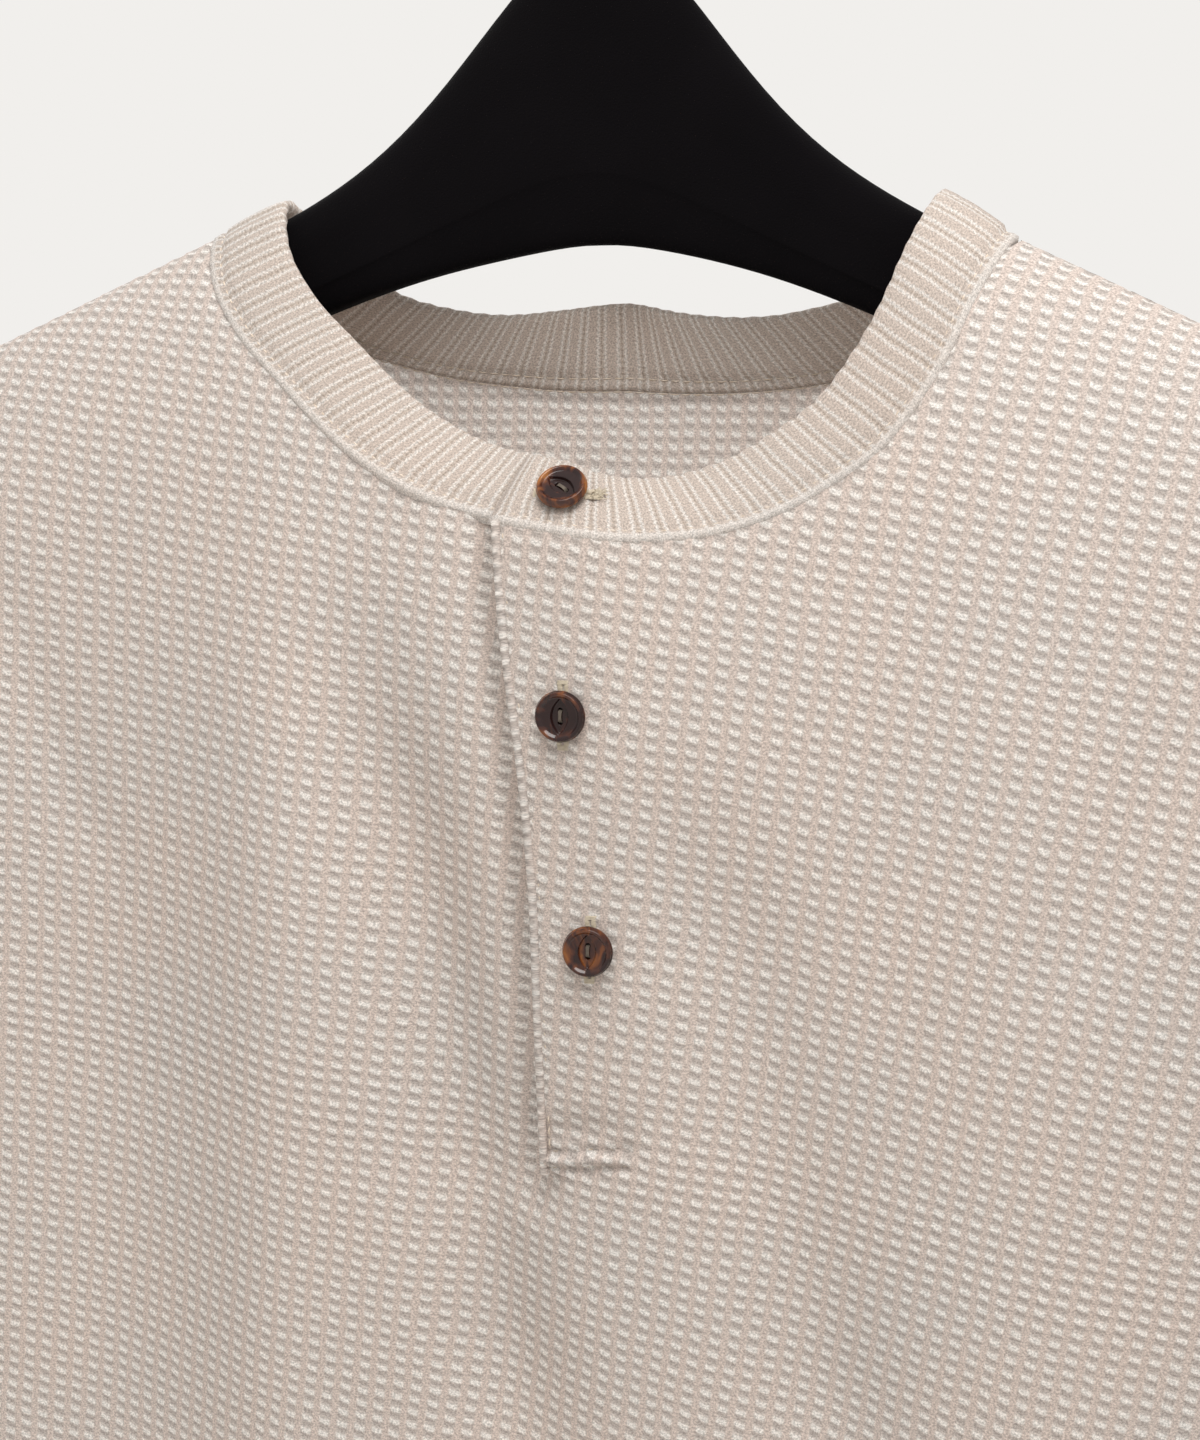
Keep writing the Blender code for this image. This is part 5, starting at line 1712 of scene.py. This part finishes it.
@dataclass
class Shirt:
    """The whole henley shirt on its hanger."""
    form: TorsoForm = field(default_factory=TorsoForm)
    gauge: Gauge = field(default_factory=Gauge)

    def build(self) -> None:
        """Build every sub-assembly in order."""
        form, gauge = self.form, self.gauge
        cloth = WaffleCotton("waffle_cotton", gauge).build()
        band_gauge = Gauge(wale=0.0055, course=0.0028, rib=0.00034, bar=-0.00008,
                           pit=-0.00014)
        # The band's shade colour is painted shade in the gaps between its ribs.
        band_cloth = WaffleCotton("band_cotton", band_gauge, rib="C9BFB6", bar="DFDCD7",
                                  shade="B2A69A", middle="CAC1B8", through=0.40,
                                  ribbed=True).build()
        thread = SewingThread("seam_thread", "AC9A86", "CFC3B5").build()
        brown = SewingThread("band_thread", "A08768").build()
        grey = SewingThread("button_thread", "3E352E", "6A6054").build()
        hanger = Hanger(form, Flocking().build(), PlatedSteel().build()).build()[0]
        torso = Torso(form, gauge, cloth, thread)
        front, back = torso.make_front(), torso.make_back()
        under, edge = torso.make_under_placket(), torso.make_placket_edge()
        seams, hem = torso.make_stitches(), torso.make_hem()
        band_maker = Neckband(form, band_gauge, band_cloth, brown)
        band, band_rows = band_maker.build()
        for wearer in Wearer:
            sleeve, cuff, rows = Sleeve(form, gauge, wearer, cloth, thread).build()
        olive = SewingThread("buttonhole_thread", "A3967F", "C9BFAE").build()
        self.button_up(form, band_maker, olive, grey)

    def button_up(self, form: TorsoForm, band: Neckband, thread: bpy.types.Material,
                  dark_thread: bpy.types.Material) -> None:
        """Put the three buttons on.

        Args:
            form: the draped form.
            band: the neckband, for the top button's place.
            thread: the buttonholes' thread.
            dark_thread: the thread that holds the buttons.
        """
        amber = MottledHorn("amber_horn", dark=0.66, shift=0.0, rim=0.15).build()
        dark = MottledHorn("dark_horn", dark=0.52, shift=3.0, rim=0.02).build()
        mixed = MottledHorn("mottled_horn", dark=0.58, shift=7.0, rim=0.02).build()
        place, out = band.button_place(0.0160)
        Button("button_1", place, out, 55.0, amber, dark_thread, thread, 90.0,
               frayed=True).build()
        for name, t, inward, horn in (("button_2", -0.2454, 0.0127, dark),
                                      ("button_3", -0.2981, 0.0139, mixed)):
            x = form.placket_x(np.array(t)) + inward
            spot = form.point(x, np.array(t), Side.FRONT)
            normal = form.normal(x, np.array(t), Side.FRONT)
            Button(name, spot, normal, 0.0, horn, dark_thread, thread, 0.0).build()


# ---- the studio ----------------------------------------------------------------------------
@dataclass
class Studio:
    """Camera, pale room and soft daylight."""
    target: tuple = (0.0155, -0.035, -0.239)
    distance: float = 0.62
    azimuth: float = 20.0
    elevation: float = 6.0
    roll: float = 1.4
    lens: float = 70.125
    floor_z: float = -0.865
    floor_reach: float = 4.0
    wall_hex: str = "F1EFEC"

    def place_camera(self) -> None:
        """Set the camera up in front of the placket, a little to its left and above."""
        a, e, r = (math.radians(v) for v in (self.azimuth, self.elevation, self.roll))
        back = Vector((math.sin(a) * math.cos(e), -math.cos(a) * math.cos(e), math.sin(e)))
        right = Vector((math.cos(a), math.sin(a), 0.0))
        up = right.cross(-back)
        turned = right * math.cos(r) + up * math.sin(r)
        upright = up * math.cos(r) - right * math.sin(r)
        data = bpy.data.cameras.new("camera")
        data.lens, data.sensor_width = self.lens, 36.0
        data.clip_start, data.clip_end = 0.02, 50.0
        data.dof.use_dof = False
        camera = bpy.data.objects.new("camera", data)
        matrix = Matrix((turned, upright, back)).transposed().to_4x4()
        matrix.translation = Vector(self.target) + back * self.distance
        camera.matrix_world = matrix
        bpy.context.scene.collection.objects.link(camera)
        bpy.context.scene.camera = camera

    def add_light(self, name: str, toward: tuple, size: float, energy: float,
                  hex_colour: str) -> None:
        """Add a soft area light aimed at the shirt's chest.

        Args:
            name: its name.
            toward: where it stands, seen from the chest, in metres.
            size: its width.
            energy: its power in watts.
            hex_colour: its colour.
        """
        data = bpy.data.lights.new(name, "AREA")
        data.shape, data.size, data.energy = "DISK", size, energy
        data.color = linear(hex_colour)[:3]
        lamp = bpy.data.objects.new(name, data)
        where = Vector(toward)
        lamp.location = Vector(self.target) + where
        lamp.rotation_euler = where.to_track_quat("Z", "Y").to_euler()
        bpy.context.scene.collection.objects.link(lamp)

    def build(self) -> None:
        """Light the room and lay its floor."""
        scene = bpy.context.scene
        scene.view_settings.view_transform = "Standard"
        world = bpy.data.worlds.new("room")
        scene.world = world
        world.use_nodes = True
        sky = world.node_tree.nodes["Background"]
        sky.inputs["Color"].default_value = linear(self.wall_hex)
        sky.inputs["Strength"].default_value = 1.0
        self.add_light("window", (0.22, -0.43, 0.78), 0.7, 11.0, "FFFEFC")
        self.add_light("fill", (-1.0, 1.5, 0.9), 1.0, 16.0, "FBFCFF")
        mesh = bpy.data.meshes.new("floor")
        far = self.floor_reach
        mesh.from_pydata([(-far, -far, 0), (far, -far, 0), (far, far, 0), (-far, far, 0)],
                         [], [(0, 1, 2, 3)])
        mesh.materials.append(StudioPaint().build())
        floor = bpy.data.objects.new("floor", mesh)
        floor.location.z = self.floor_z
        scene.collection.objects.link(floor)


def main() -> None:
    """Build the studio and the shirt."""
    logging.basicConfig(level=logging.INFO, format="%(name)s: %(message)s")
    studio = Studio()
    studio.place_camera()
    Shirt().build()
    studio.build()


if __name__ == "__main__":
    main()
